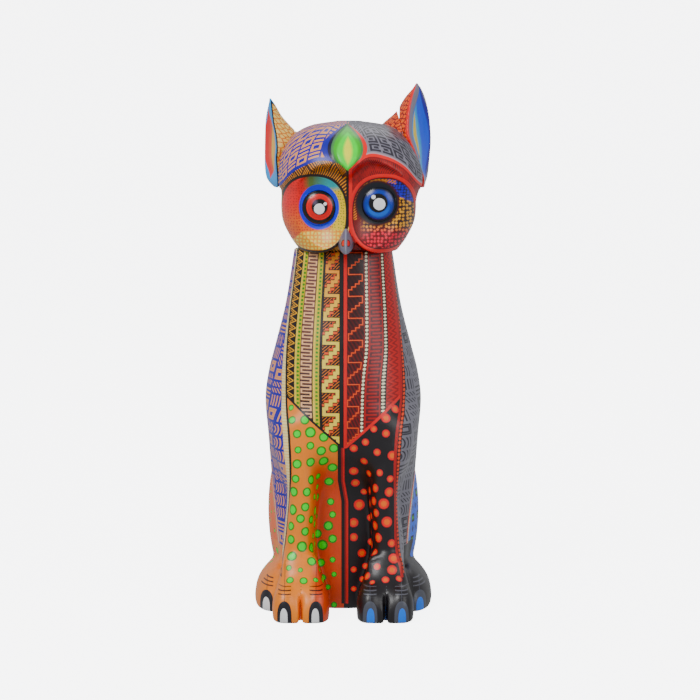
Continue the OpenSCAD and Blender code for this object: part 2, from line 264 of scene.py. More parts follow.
def make_body():
    torso = carved("torso_carving", body_field, (-HIND_HI[0], -PAW_TIP, 0), (HIND_HI[0], RUMP, BODY_H), BODY_VOXEL)
    pieces = {"torso": torso}
    for side, word in ((-1, "left"), (1, "right")):
        keel = LEG_LO[0] - 1
        step_y = -LEG_SEAM - 40
        tool = upright("cutter", [(side * a, b) for a, b in (
            (keel, -120), (100, -120), (100, step_y), (HIND_LO[0], step_y), (HIND_LO[0], -LEG_SEAM),
            (keel, -LEG_SEAM))], -10, LEG_H)
        pieces["foreleg_" + word] = split(torso, tool, "foreleg_%s_carving" % word)
        remove(tool)
        xs = sorted((side * HIND_LO[0], side * 100))
        tool = block("cutter", (xs[0], -LEG_SEAM - 40, -10), (xs[1], HIND_HI[1], HIND_HI[2]))
        pieces["hind_paw_" + word] = split(torso, tool, "hind_paw_%s_carving" % word)
        remove(tool)
    return pieces


# ---------- head ----------

BROW_LEFT = [(0, 59), (8, 65), (21, 66.5), (36, 60.5), (43, 55), (50, 47), (58, 44)]
BROW_RIGHT = [(0, 60), (13, 70.5), (27, 69), (40, 62), (50, 51), (58, 45)]
DISC_X, DISC_Z, DISC_W, DISC_H = 25.3, 28.5, 25, 28.5
BOSS_X, BOSS_Z, BOSS_W, BOSS_H = -1, 75, 11.5, 17
DISC_DEPTH = 10


def brow(x):
    """Height of the cap's lower edge across the face."""
    return np.where(x < 0, curve(BROW_LEFT, -x), curve(BROW_RIGHT, x))


def disc_ring(x, z):
    """1 on the outline of the nearer facial disc, 0 at its centre."""
    a = np.abs(np.abs(x) - DISC_X) / DISC_W
    b = np.abs(z - DISC_Z) / DISC_H
    return (a**2.4 + b**2.4) ** (1 / 2.4)


def boss_ring(x, z):
    """1 on the outline of the almond boss on the forehead."""
    reach = np.clip(1 - ((z - BOSS_Z) / BOSS_H) ** 2, 0.02, 1)
    return np.abs(x - BOSS_X) / (BOSS_W * reach)


def face_front(x, z):
    """How far forward the face reaches below the cap's edge."""
    drop = brow(x) - z
    ring = disc_ring(x, z)
    plate = 58 - 9 * smooth(0, 10, drop)
    dish = DISC_DEPTH * np.clip(1 - (ring / 0.93) ** 2, 0, 1) ** 0.85
    bridge = np.sqrt((x / 15) ** 2 + ((z - 30) / 24) ** 2)
    edge = np.where(z > DISC_Z, np.maximum(np.abs(x) - DISC_X, 0) / DISC_W, ring)
    outside = smooth(0.99, 1.06, np.minimum(edge, bridge)) * smooth(1, 5, drop)
    front = mix(plate - dish, 30, outside)
    return np.where(drop > 0, front, 200)


# Ears: stations of (height above the shoulders, distance from the middle of the head)
EAR_RIDGE = {
    -1: [(45, 52), (53, 52), (66, 52.8), (75, 52.3), (84, 53.2), (92, 54.9), (101, 56.2), (109.6, 57.2)],
    1: [(45.5, 54.9), (52, 54.9), (62, 51.4), (74, 47), (83, 43.5), (92, 43), (104, 44.4), (114, 47), (121, 49.8)],
}
EAR_EDGE = {
    -1: [(45, 55), (48, 58.5), (52, 61), (60, 62.2), (75, 62.2), (90, 61.6), (99, 60.4), (109.6, 57.6)],
    1: [(45.5, 55.5), (52.6, 58.4), (66, 60.1), (78, 61), (88, 60.6), (99, 59.2), (109.6, 56.6), (117.5, 53.1),
        (121, 50.2)],
}
EAR_ROOT = {
    -1: [(45, 30), (66, 30), (78, 28), (83, 22), (88, 17.4), (97, 9.5), (104, 5), (109.6, 0.8)],
    1: [(45, 30), (82, 33), (90.5, 30), (100, 18.5), (110.5, 11), (117, 4.5), (121, 0.8)],
}
EAR_REACH = [(0, 5), (0.06, 11), (0.14, 15), (0.32, 18.5), (0.5, 18), (0.7, 13), (0.87, 7), (1, 0.7)]
EAR_LOW = 45
EAR_TIP = {-1: mm_box("ear_left")[1][2] - BODY_H, 1: mm_box("ear_right")[1][2] - BODY_H}
SEAT_LOW, SEAT_HIGH = (51, 46), (39, 88)
EAR_CUP = 2.6


def ear_section(x, y, z, side):
    """Place across the ear's open face (-1 front ridge, 1 back edge) and distance in front of that face."""
    out = side * (x - HEAD_X)
    h = z - BODY_H
    reach = curve(EAR_REACH, (h - EAR_LOW) / (EAR_TIP[side] - EAR_LOW))
    x1, x2 = curve(EAR_RIDGE[side], h), curve(EAR_EDGE[side], h)
    length = np.hypot(x2 - x1, 2 * reach)
    dx, dy = (x2 - x1) / length, 2 * reach / length
    from_x, from_y = out - (x1 + x2) / 2, y - 1
    return 2 * (from_x * dx + from_y * dy) / length, from_x * dy - from_y * dx, length


def ear_whole(x, y, z, side):
    """An ear with its root, before its seat is cut."""
    h = z - BODY_H
    t, n, length = ear_section(x, y, z, side)
    arch = np.clip(1 - t * t, 0, 1)
    cup = EAR_CUP * np.clip(1 - (t / 0.86) ** 2, 0, 1) * smooth(EAR_LOW + 2, EAR_LOW + 14, h)
    cup = cup * smooth(EAR_TIP[side] - 3, EAR_TIP[side] - 24, h)
    front = n - 0.6 * arch + cup
    back = -n - curve(EAR_ROOT[side], h) * arch**0.8
    shape = carve(front, back, 0.9)
    shape = np.maximum(shape, (np.abs(t) - 1) * length / 2)
    return np.maximum(np.maximum(shape, h - EAR_TIP[side]), EAR_LOW - h)


def beyond_seat(x, z, side):
    """Distance outside the flat seat between an ear and the head."""
    (x1, h1), (x2, h2) = SEAT_LOW, SEAT_HIGH
    length = math.hypot(x2 - x1, h2 - h1)
    return ((side * (x - HEAD_X) - x1) * (h2 - h1) - (z - BODY_H - h1) * (x2 - x1)) / length


def head_field(x, y, z):
    ears = [(ear_whole(x, y, z, side), beyond_seat(x, z, side)) for side in (-1, 1)]
    x = x - HEAD_X
    z = z - BODY_H
    skull = oval(
        x, y,
        curve([(0, 36), (8, 42), (20, 48), (30, 49.5), (43, 49.5), (48, 51.5), (66, 51), (78, 45.5), (86, 37),
               (91, 26), (HEAD_H - 0.5, 12)], z),
        curve([(0, 50), (20, 53), (44, 55), (52, 58), (62, 57.5), (72, 53.5), (82, 44), (89, 29),
               (HEAD_H - 0.5, 12)], z),
        curve([(0, 35), (20, 41), (45, 44), (66, 42), (80, 33), (89, 20), (HEAD_H - 0.5, 12)], z),
        0.8,
    )
    boss = smooth(1.05, 0.55, boss_ring(x, z)) * smooth(0, -10, y)
    corner = 3.6 * smooth(10, 44, x) * smooth(-4, -24, y) * smooth(30, 46, z) * smooth(72, 54, z)
    skull = carve(skull - 2.2 * boss - corner, z - HEAD_H + 0.3, 4)
    shape = carve(skull, -y - face_front(x, z), 0.8)
    for ear, seat in ears:
        shape = join(shape, np.maximum(ear, seat), 1.5)
        shape = np.maximum(shape, -np.maximum(ear - 0.15, -seat))
    return np.maximum(shape, -z)


def make_head():
    return carved("head_carving", head_field, (HEAD_X - 56, -60, BODY_H),
                  (HEAD_X + 56, 46, HEAD_HI[2] + 8), HEAD_VOXEL)


def make_ear(side, word):
    lo, hi = mm_box("ear_" + word)

    def field(x, y, z):
        return np.maximum(ear_whole(x, y, z, side), 0.1 - beyond_seat(x, z, side))
    return carved("ear_%s_carving" % word, field, lo - 1, hi + 1, EAR_VOXEL)


def lathe(name, profile, centre, count=96):
    """Solid of revolution about the Y axis through centre; the profile runs from pole to pole."""
    points, faces = [], []
    for radius, y in profile[1:-1]:
        for k in range(count):
            a = 2 * math.pi * k / count
            points.append((centre[0] + radius * math.cos(a), y, centre[2] + radius * math.sin(a)))
    for j in range(len(profile) - 3):
        for k in range(count):
            n = (k + 1) % count
            faces.append((j * count + k, j * count + n, (j + 1) * count + n, (j + 1) * count + k))
    first, last = len(points), len(points) + 1
    points += [(centre[0], profile[0][1], centre[2]), (centre[0], profile[-1][1], centre[2])]
    top = (len(profile) - 3) * count
    mesh_faces = [list(f) for f in faces]
    for k in range(count):
        n = (k + 1) % count
        mesh_faces.append([first, n, k])
        mesh_faces.append([last, top + k, top + n])
    mesh = bpy.data.meshes.new(name)
    mesh.from_pydata((np.array(points) * MM).tolist(), [], mesh_faces)
    mesh.validate()
    obj = bpy.data.objects.new(name, mesh)
    bpy.context.scene.collection.objects.link(obj)
    return obj


def make_eye(word):
    """Domed eye with a low rim, on its plug."""
    lo, hi = mm_box("eye_" + word)
    centre = (lo + hi) / 2
    radius = (hi[0] - lo[0]) / 2
    dome = 5.0
    rim_y = lo[1] + dome + 0.6
    profile = [(0, lo[1] + 0.6)]
    for k in range(1, 30):
        a = math.pi / 2 * k / 30
        profile.append(((radius - 0.9) * math.sin(a), rim_y - dome * math.cos(a)))
    for k in range(7):
        a = math.pi / 2 * k / 6
        profile.append((radius - 0.9 + 0.9 * math.sin(a), rim_y + 0.9 - 0.9 * math.cos(a)))
    profile += [(radius, hi[1] - 1), (radius - 1, hi[1]), (0, hi[1])]
    return lathe("eye_%s_dome" % word, profile, centre)


BEAK_LO, BEAK_HI = mm_box("beak")


def beak_field(x, y, z):
    """Hooked beak with a ridge down its middle and a nostril on each side."""
    mid = (BEAK_LO[0] + BEAK_HI[0]) / 2
    h = z - BEAK_LO[2]
    half = curve([(0, 1.5), (3, 4.4), (6.5, 5.5), (10, 4.8), (15, 2.6), (18, 0.9)], h)
    front = -BEAK_LO[1] - curve([(0, 2.6), (3, 0.4), (6, 0.3), (10, 1.6), (14, 4.5), (18, 9.5)], h)
    side = np.abs(x - mid)
    ridge = side * 1.35 + 0.14 * side**2
    shape = carve(-y - front + ridge, (side - half) * 1.2, 1.6)
    nostril = ball(side, y, h, (2.9, -58.5, 8.2), (0.9, 2.4, 1.6))
    shape = np.maximum(shape, -nostril)
    return np.maximum(np.maximum(shape, -h + 0.2), np.maximum(h - (BEAK_HI[2] - BEAK_LO[2]), y - BEAK_HI[1]))


def make_beak():
    return carved("beak_carving", beak_field, BEAK_LO, BEAK_HI, 0.35)


TAIL_LO, TAIL_HI = mm_box("tail")
TAIL_R = TAIL_HI[0]
TAIL_Z = TAIL_LO[2] + TAIL_R
TAIL_ROOT = TAIL_LO[1]


def tail_route(t):
    back = curve([(0, 0), (0.08, 6), (0.3, 21), (0.6, 20), (1, 27)], t)
    up = curve([(0, 0), (0.08, 0), (0.3, 14), (0.6, 56), (1, 93)], t)
    return TAIL_ROOT + back, TAIL_Z + up


def make_tail():
    """Rings swept along the tail's route, with carved rounds between them."""
    count, around = 150, 48
    t = np.linspace(0, 1, count)
    y, z = tail_route(t)
    slope = np.arctan2(np.gradient(z), np.gradient(y))
    slope[0] = 0
    tip = np.sqrt(np.clip(1 - (np.clip(t - 0.9, 0, 1) / 0.1) ** 2, 0.002, 1))
    groove = 0.55 * np.clip(1 - np.abs((t * 9) % 1 - 0.5) * 16, 0, 1) * smooth(0.06, 0.1, t)
    radius = (TAIL_R * (1 - 0.45 * t) - groove - 0.02) * tip
    a = np.linspace(0, 2 * math.pi, around, endpoint=False)
    px = radius[:, None] * np.cos(a)[None]
    py = y[:, None] - radius[:, None] * np.sin(a)[None] * np.sin(slope)[:, None]
    pz = z[:, None] + radius[:, None] * np.sin(a)[None] * np.cos(slope)[:, None]
    points = np.stack([px, py, pz], -1).reshape(-1, 3)
    faces = [
        (j * around + k, (j + 1) * around + k, (j + 1) * around + (k + 1) % around, j * around + (k + 1) % around)
        for j in range(count - 1) for k in range(around)
    ]
    ends = [tuple(range(around)), tuple(reversed(range((count - 1) * around, count * around)))]
    mesh = bpy.data.meshes.new("tail_carving")
    mesh.from_pydata((points * MM).tolist(), [], [list(f) for f in faces + ends])
    mesh.validate()
    obj = bpy.data.objects.new("tail_carving", mesh)
    bpy.context.scene.collection.objects.link(obj)
    keep(obj, "along", np.repeat(t * 112, around))
    keep(obj, "round", np.tile(np.minimum(a, 2 * math.pi - a) * TAIL_R, count))
    return obj


# ---------- paint: numbers and colours worked out by shader nodes ----------

class Num:
    """A number that varies over a surface, worked out by math nodes in the current node tree."""

    tree = None

    def __init__(self, socket):
        self.socket = socket

    def __add__(self, other):
        return calc("ADD", self, other)

    def __sub__(self, other):
        return calc("SUBTRACT", self, other)

    def __rsub__(self, other):
        return calc("SUBTRACT", other, self)

    def __mul__(self, other):
        return calc("MULTIPLY", self, other)

    def __truediv__(self, other):
        return calc("DIVIDE", self, other)

    def __abs__(self):
        return calc("ABSOLUTE", self)

    __radd__ = __add__
    __rmul__ = __mul__


def calc(operation, *values, clamp=False):
    node = Num.tree.nodes.new("ShaderNodeMath")
    node.operation = operation
    node.use_clamp = clamp
    for socket, value in zip(node.inputs, values):
        if isinstance(value, Num):
            Num.tree.links.new(value.socket, socket)
        else:
            socket.default_value = value
    return Num(node.outputs[0])


def least(first, *others):
    for other in others:
        first = calc("MINIMUM", first, other)
    return first


def most(first, *others):
    for other in others:
        first = calc("MAXIMUM", first, other)
    return first


def inside(distance, soft=0.16):
    """1 where a signed distance in millimetres is positive, with a soft edge as a brush leaves it."""
    return calc("MULTIPLY_ADD", distance, 1 / soft, 0.5, clamp=True)


def near(t, period):
    """Distance from t to the nearest multiple of period."""
    return calc("PINGPONG", t, period / 2)


def turn(t, period):
    """t brought back into 0 to period."""
    return calc("FLOORED_MODULO", t, period)


def fade(t, lo, hi):
    """0 below lo, 1 above hi."""
    return calc("MULTIPLY_ADD", t, 1 / (hi - lo), -lo / (hi - lo), clamp=True)


def stored(name):
    """A number kept at each vertex of the mesh."""
    node = Num.tree.nodes.new("ShaderNodeAttribute")
    node.attribute_name = name
    return Num(node.outputs["Fac"])


def place():
    """The point of the surface in millimetres, in the piece's own frame."""
    node = Num.tree.nodes.new("ShaderNodeTexCoord")
    split_node = Num.tree.nodes.new("ShaderNodeSeparateXYZ")
    Num.tree.links.new(node.outputs["Object"], split_node.inputs[0])
    return [calc("DIVIDE", Num(out), MM) for out in split_node.outputs]


def cloud(scale, detail=3, stretch=(1, 1, 1)):
    """Noise between 0 and 1; scale is in lumps a millimetre."""
    node = Num.tree.nodes.new("ShaderNodeTexCoord")
    sizing = Num.tree.nodes.new("ShaderNodeMapping")
    noise = Num.tree.nodes.new("ShaderNodeTexNoise")
    sizing.inputs["Scale"].default_value = [scale / MM * f for f in stretch]
    noise.inputs["Scale"].default_value = 1
    noise.inputs["Detail"].default_value = detail
    Num.tree.links.new(node.outputs["Object"], sizing.inputs["Vector"])
    Num.tree.links.new(sizing.outputs["Vector"], noise.inputs["Vector"])
    return Num(noise.outputs[0])


def chance(i, j, seed=0):
    """A fixed random number between 0 and 1 for each pair of whole numbers."""
    wave = calc("SINE", i * 12.9898 + j * 78.233 + seed * 3.7)
    return calc("FRACT", wave * 43758.5)


PURER, DEEPER = 1.5, 1.32  # varnish makes the paints purer and deeper


def linear(colour):
    """A colour given as 0 to 255 screen values, as the shader needs it."""
    def one(v):
        v = v / 255
        return v / 12.92 if v <= 0.04045 else ((v + 0.055) / 1.055) ** 2.4
    parts = [one(v) for v in colour]
    grey = sum(parts) / 3
    return (*[min(max(grey + (v - grey) * PURER, 0), 1) ** DEEPER for v in parts], 1)


def coat(under, mask, over):
    """Paints one colour over another where the mask is 1. A colour is a socket or screen values."""
    node = Num.tree.nodes.new("ShaderNodeMix")
    node.data_type = "RGBA"
    Num.tree.links.new(mask.socket, node.inputs[0])
    for socket, colour in ((node.inputs[6], under), (node.inputs[7], over)):
        if isinstance(colour, tuple):
            socket.default_value = linear(colour)
        else:
            Num.tree.links.new(colour, socket)
    return node.outputs[2]


def coats(under, *layers):
    for mask, over in layers:
        under = coat(under, mask, over)
    return under


def shaded(colour, amount):
    """Multiplies a colour by a number."""
    node = Num.tree.nodes.new("ShaderNodeMix")
    node.data_type = "RGBA"
    node.blend_type = "MULTIPLY"
    node.inputs[0].default_value = 1
    Num.tree.links.new(colour, node.inputs[6])
    Num.tree.links.new(amount.socket, node.inputs[7])
    return node.outputs[2]


def painted(name, paint, rough=0.36, relief=None):
    """A varnished hand-painted material. paint() returns the colour; relief() a height in millimetres."""
    material = bpy.data.materials.new(name)
    material.use_nodes = True
    tree = Num.tree = material.node_tree
    shader = tree.nodes["Principled BSDF"]
    colour = paint()
    streaks = cloud(0.22, 4, (1, 1, 0.35))
    colour = shaded(colour, calc("MULTIPLY_ADD", streaks, 0.28, 0.86))
    tree.links.new(colour, shader.inputs["Base Color"])
    brush = cloud(1.6, 3, (1, 1, 0.4))
    lumps = cloud(0.12, 2)
    tree.links.new((rough - 0.1 + brush * 0.14 + lumps * 0.1).socket, shader.inputs["Roughness"])
    shader.inputs["Coat Weight"].default_value = 0.12
    shader.inputs["Coat Roughness"].default_value = 0.22
    height = brush * 0.05 + lumps * 0.5
    if relief:
        height = height + relief()
    bump = tree.nodes.new("ShaderNodeBump")
    bump.inputs["Strength"].default_value = 0.35
    bump.inputs["Distance"].default_value = MM
    tree.links.new(height.socket, bump.inputs["Height"])
    tree.links.new(bump.outputs["Normal"], shader.inputs["Normal"])
    return material


# ---------- paint: motifs, as signed distances in millimetres, positive inside ----------

def step_fret(x, y, width, period, half, steps=4, rise=2.0):
    """A winding path: a bar across, the right side, a staircase down to the left side, the next bar.

    Also returns the path's distance leaving out the bars, and the place folded so that the pocket above
    the staircase and the one below it read alike.
    """
    y = turn(y, period)
    tread = width / steps
    column = least(calc("FLOOR", x / tread), steps - 1)
    level = period / 2 + ((steps - 1) / 2 - column) * rise
    top, foot = period / 2 - steps / 2 * rise + rise / 2, period / 2 + steps / 2 * rise - rise / 2
    bar = half - least(y, period - y)
    right = least(half - abs(x - (width - half)), top + half - y)
    left = least(half - abs(x - half), y - foot + half)
    stair = half - abs(y - level)
    corner = calc("FLOOR", x / tread + 0.5) * tread
    slope_y = period / 2 + (width / 2 - corner) * (rise / tread)
    riser = least(half - near(x, tread), rise / 2 + half - abs(y - slope_y), x - half, width - half - x)
    above = inside(level - y, 0.01)
    fx = x + (1 - above) * (width - x * 2)
    fy = y + (1 - above) * (period - y * 2)
    winding = most(right, left, stair, riser)
    return most(bar, winding), winding, fx, fy


def folded(x, y, width, period):
    """Gives a band's second half period the first one turned by half a turn."""
    y = turn(y, period)
    far_half = inside(y - period / 2, 0.01)
    return x + far_half * (width - x * 2), y + far_half * (period - y * 2)


def meander(x, y, width, period, half):
    """A square wave along a band."""
    x, y = folded(x, y, width, period)
    bars = half - least(y, period / 2 - y)
    side_line = half - abs(x - (width - half))
    return least(most(bars, side_line), x, width - x)


def zigzag(x, y, width, period):
    """Nested lines that run from side to side."""
    gap = x - near(y, period) * (2 * width / period)
    return most(0.58 - abs(gap), 0.3 - abs(gap - 2.1))


def beads(x, y, pitch, radius):
    """A row of round beads along x = 0."""
    along = near(y, pitch)
    return radius - calc("SQRT", x * x + along * along)


def hatch(t, period, half):
    return half - near(t, period)


def glyphs(a, b, wide, high, line):
    """Cells of a panel, each with one of four small signs, chosen by chance."""
    column = calc("FLOOR", a / wide)
    b = b + chance(column, column * 3, 5) * high
    row = calc("FLOOR", b / high)
    x = a - column * wide - wide / 2
    y = b - row * high - high / 2
    pick = chance(column, row, 1)
    flip = inside(chance(column, row, 2) - 0.5, 0.01)
    p = x + flip * (y - x)
    q = y + flip * (x - y)
    frame_in = least(wide / 2 - 0.9 - abs(x), high / 2 - 0.9 - abs(y))
    bars = hatch(p + line, 2.9 * line * 1.6, line)
    radius = calc("SQRT", (x + wide / 2) * (x + wide / 2) + y * y)
    arcs = hatch(radius, 2.6 * line * 1.5, line * 0.8)
    box = most(abs(p) - wide * 0.2, abs(q) - high * 0.2)
    boxes = most(line - abs(box), line - abs(box - 2.4 * line))
    slants = least(hatch(p + q, 3.2 * line * 1.6, line), abs(q) - line)
    sign = bars
    for limit, other in ((0.3, arcs), (0.52, boxes), (0.76, slants)):
        chosen = inside(pick - limit, 0.01)
        sign = sign + chosen * (other - sign)
    return least(sign, frame_in)


# ---------- paint: the body ----------

ORANGE = (255, 168, 30)
BLACK = (42, 38, 42)
CREAM = (252, 224, 172)
TAN = (232, 190, 130)
BROWN = (58, 28, 12)
RED = (214, 24, 22)
WINE = (92, 10, 14)
VIOLET = (72, 62, 168)
GREY = (150, 149, 156)
DARK_GREY = (74, 72, 80)
PEACH = (250, 192, 150)
GREEN = (96, 226, 48)
DARK_GREEN = (50, 130, 22)
BLUE = (62, 146, 245)
SPLIT_X = 0.5


def chest_left(u, v):
    """Bands left of the middle line; u is negative there."""
    w = 0 - u
    fret, winding, fx, fy = step_fret(10.4 - (w - 2.7), 400 - v, 10.4, 16.9, 1.1, 4, 2.8)
    stripes = hatch(fx + fy, 2.3, 0.36)
    band = inside(least(w - 2.7, 13.1 - w), 0.2)
    colour = coats(
        (40, 24, 18),
        (band, (46, 20, 8)),
        (band * inside(least(stripes, 0 - winding - 2.9)), (214, 150, 84)),
        (band * inside(least(winding + 2.3, 0 - winding - 0.7)), (238, 134, 30)),
        (band * inside(fret + 0.7), BROWN),
        (band * inside(fret), coat((255, 226, 150), fade(v, 205, 250), (244, 176, 60))),
    )
    for lo, hi in ((14.9, 18.7), (26.6, 29.9)):
        colour = coats(
            colour,
            (inside(least(w - lo, hi - w)), (206, 196, 70)),
            (inside(least(w - hi + 1.1, hi - w)) * 0.7, (244, 220, 150)),
            (inside(beads(w - (lo + hi) / 2 + 0.4, v, 2.8, 0.85), 0.4), (84, 146, 30)),
        )
    comb = meander(w - 19.5, v, 6.6, 4.9, 0.5)
    colour = coats(
        colour,
        (inside(least(w - 19.1, 26.3 - w)), coat((66, 34, 16), fade(v, 150, 215), (128, 100, 94))),
        (inside(comb, 0.3), (244, 208, 178)),
    )
    zig = least(zigzag(w - 30.4, v, 4.2, 5.3), w - 30.4, 34.6 - w)
    return coats(colour, (inside(zig, 0.3), (246, 194, 118)))


def chest_right(u, v):
    """Bands right of the middle line."""
    fret, winding, fx, fy = step_fret(u - 3.0, 402 - v, 10.6, 15.6, 0.36, 4, 2.1)
    strokes = least(hatch(fx - fy * 0.6, 3.0, 0.8), 0 - winding - 1.1)
    panel = inside(least(u - 2.4, 14.6 - u), 0.2)
    colour = coats(
        (190, 18, 20),
        (panel, coat((128, 10, 14), fade(v, 150, 240), (70, 6, 12))),
        (panel * inside(strokes, 0.8) * 0.8, (52, 8, 24)),
        (panel * inside(least(fret, u - 3.0, 13.6 - u), 0.25), (250, 136, 78)),
    )
    comb = meander(u - 18.4, v, 7.2, 5.0, 0.62)
    colour = coats(
        colour,
        (inside(least(u - 17.4, 26.4 - u), 0.4), (168, 26, 44)),
        (inside(comb, 0.4) * 0.85, (76, 10, 44)),
    )
    hair = least(0.5 - near(u * 0.9 + near(v, 4.4) * 0.9, 2.3), u - 29, 33 - u)
    colour = coats(colour, (inside(hair, 0.6) * 0.7, (112, 12, 18)))
    for middle, pitch, size in ((16.1, 2.75, 1.0), (27.6, 2.4, 0.82)):
        colour = coats(
            colour,
            (inside(1.25 - abs(u - middle)), (50, 14, 12)),
            (inside(beads(u - middle, v, pitch, size), 0.3), (255, 250, 228)),
        )
    return colour


def side_panels(x, a, v):
    """Glyph panels round the flanks and the back, violet left and grey right."""
    left = coats(
        VIOLET,
        (inside(glyphs(a, v, 12.5, 9.5, 0.62), 0.3), PEACH),
    )
    right = coats(
        GREY,
        (inside(glyphs(a, v, 12.5, 9.5, 0.62), 0.3), DARK_GREY),
    )
    return coat(left, inside(x - SPLIT_X), right)


def spine(colour, x, v):
    """A band of step frets between bead rows up the middle of the back."""
    fret = step_fret(x + 6, v, 12, 17, 0.8)[0]
    return coats(
        colour,
        (inside(9.6 - abs(x)), BROWN),
        (inside(6 - abs(x)), WINE),
        (inside(least(fret, 6 - abs(x)), 0.25), (250, 160, 60)),
        (inside(beads(abs(x) - 7.8, v, 2.7, 1.15), 0.3), (255, 246, 220)),
    )


def haunch_paint(colour, x, v):
    """Left haunch orange, right haunch blue with squares and small triangles."""
    edge = stored("haunch")
    a = stored("around")
    on = inside(edge, 0.2)
    row = turn(v, 17)
    square = 3.1 - most(abs(row - 8.5), near(a, 13))
    leaf_mark = 1.6 - abs(row - 8.5) * 0.8 - near(a, 13)
    tri_row = near(v, 17)
    triangle = least(3.4 - near(a, 6.5) * 2.2 - tri_row, 2.6 - tri_row)
    right = coats(
        BLUE,
        (inside(triangle, 0.3), (26, 40, 96)),
        (inside(square, 0.3), (28, 30, 44)),
        (inside(leaf_mark, 0.4), (110, 200, 70)),
    )
    left = coats(
        (246, 146, 48),
        (inside(0.5 - stored("dot_green"), 0.12), DARK_GREEN),
        (inside(0.34 - stored("dot_green"), 0.1), GREEN),
    )
    both = coat(left, inside(x), right)
    rim = coats(
        both,
        (inside(8.4 - edge), BROWN),
        (inside(7.4 - edge), (252, 240, 214)),
        (inside(hatch(v + a * 0.4, 2.3, 0.2), 0.2) * inside(7.4 - edge), TAN),
        (inside(2.4 - edge), (220, 70, 40)),
    )
    return coat(colour, on, rim)


def dots(colour, name, rim, core, size):
    """Round dots: a ring of rim colour with a core. The stored number is 0 at a dot's middle, 1 at its rim."""
    t = stored(name)
    return coats(colour, (inside(1 - t, 0.16), rim), (inside(size - t, 0.22), core))


def paw_marks(colour, x, z, line, outer, core):
    """Knuckle lines and claws on the fronts of the toes."""
    c = stored("claw")
    high = stored("claw_high")
    toe = inside(stored("toe") - 0.5, 0.1)
    rise = z / high
    arch = rise * rise * rise
    outer_edge = calc("SQRT", most(1 - arch * rise, 0.001)) * 5.2 - abs(c)
    core_rise = rise / 0.7
    core_arch = core_rise * core_rise * core_rise * core_rise
    core_edge = calc("SQRT", most(1 - core_arch, 0.001)) * 2.7 - abs(c - 0.4)
    knuckle = least(hatch(z - high * 0.15, 2.3, 0.34), 4.6 - abs(c), z - high - 2.4, high + 9 - z)
    return coats(
        colour,
        (inside(knuckle, 0.25) * toe, line),
        (inside(outer_edge, 0.25) * toe, outer),
        (inside(least(core_edge, high * 0.7 - z), 0.25) * toe, core),
    )


def body_paint():
    x, y, z = place()
    u = stored("across")
    beyond = stored("beyond")
    v = z
    left = inside(SPLIT_X - x)
    chest = coat(chest_right(u, v), left, chest_left(u, v))
    chest = coats(
        chest,
        (inside(1.5 - abs(x + 1.2)), (34, 20, 22)),
        (inside(1.15 - abs(x - SPLIT_X - 1.1)), (208, 26, 24)),
    )
    # Painted shade: the orange turns burnt orange low down near the middle, between the forelegs.
    shade = fade(stored("hollow"), 0, 1)
    orange = coat(ORANGE, shade, (206, 112, 14))
    orange = dots(orange, "dot_green", DARK_GREEN, GREEN, 0.72)
    black = dots(BLACK, "dot_red", (232, 34, 14), (255, 152, 84), 0.58)
    legs = coat(black, left, orange)
    left_paw = paw_marks(legs, x, z, BROWN, (46, 44, 52), (250, 250, 250))
    right_paw = paw_marks(legs, x, z, (120, 120, 126), (104, 106, 114), (76, 158, 246))
    legs = coat(right_paw, left, left_paw)
    strip = x - stored("jog")
    legs = coats(
        legs,
        (inside(least(strip + 3.9, 2.6 - strip)) * inside(z - 4), (38, 22, 24)),
        (inside(least(strip + 1.5, 1.1 - strip)) * inside(z - 4), (150, 14, 18)),
        (inside(least(strip + 0.3, 1.0 - strip)) * inside(z - 4), (204, 24, 24)),
    )
    vee = stored("vee")
    front = coat(legs, inside(vee), chest)
    front = coats(
        front,
        (inside(1.0 - abs(vee)) * left, (26, 20, 22)),
        (inside(1.3 - abs(vee)) * inside(x - SPLIT_X), RED),
    )
    panels = spine(side_panels(x, stored("around"), v), x, v)
    panels = haunch_paint(panels, x, v)
    on_paw = stored("paw")
    panels = coat(panels, inside(on_paw), legs)
    share = stored("bead_share")
    colour = coats(
        panels,
        (inside(0 - beyond), front),
        (inside(1.1 - abs(beyond + 0.7)) * left * inside(z - 30), (34, 22, 18)),
        (inside(1.2 - abs(beyond + 1)) * inside(x) * inside(z - 30), (176, 16, 22)),
    )
    band = inside(least(share * 4, 4 - share * 4), 0.4) * inside(z - 32)
    separators = inside(hatch(v, 2.1, 0.16), 0.25)
    left_band = coat((254, 238, 200), separators, TAN)
    right_band = coat((58, 18, 12), inside(beads(share * 3.4 - 1.7, v, 2.8, 1.12), 0.3), (252, 130, 66))
    return coat(colour, band, coat(right_band, left, left_band))


# ---------- numbers kept at the vertices ----------

EDGE_LEFT = [(0, 48), (34, 45.4), (58, 42.2), (98, 39.2), (129, 40.2), (155, 42.2), (198, 41.4), (260, 34.2)]
EDGE_RIGHT = [(0, 45), (34, 42.5), (48, 39.2), (68, 38), (98, 37.8), (129, 39), (158, 42.5), (198, 41), (260, 34.4)]
BEAD_WIDE_LEFT = [(30, 1.8), (60, 3), (98, 4.2), (158, 4.2), (198, 2.8), (260, 1.3)]
BEAD_WIDE_RIGHT = [(30, 3), (60, 3.2), (158, 3.4), (198, 2.6), (260, 2)]
FIRST_BEADS = [(141, 12.7), (170, 13.8), (195, 16.4), (260, 16.1)]
SECOND_BEADS = [(155, 28), (170, 28.4), (195, 30.3), (260, 27.7)]
VEE_LOW, VEE_RISE = 123, 0.9


def points_of(obj):
    co = np.empty(len(obj.data.vertices) * 3)
    obj.data.vertices.foreach_get("co", co)
    return co.reshape(-1, 3) / MM


def normals_of(obj):
    n = np.empty(len(obj.data.vertices) * 3, np.float32)
    obj.data.vertices.foreach_get("normal", n)
    return n.reshape(-1, 3)


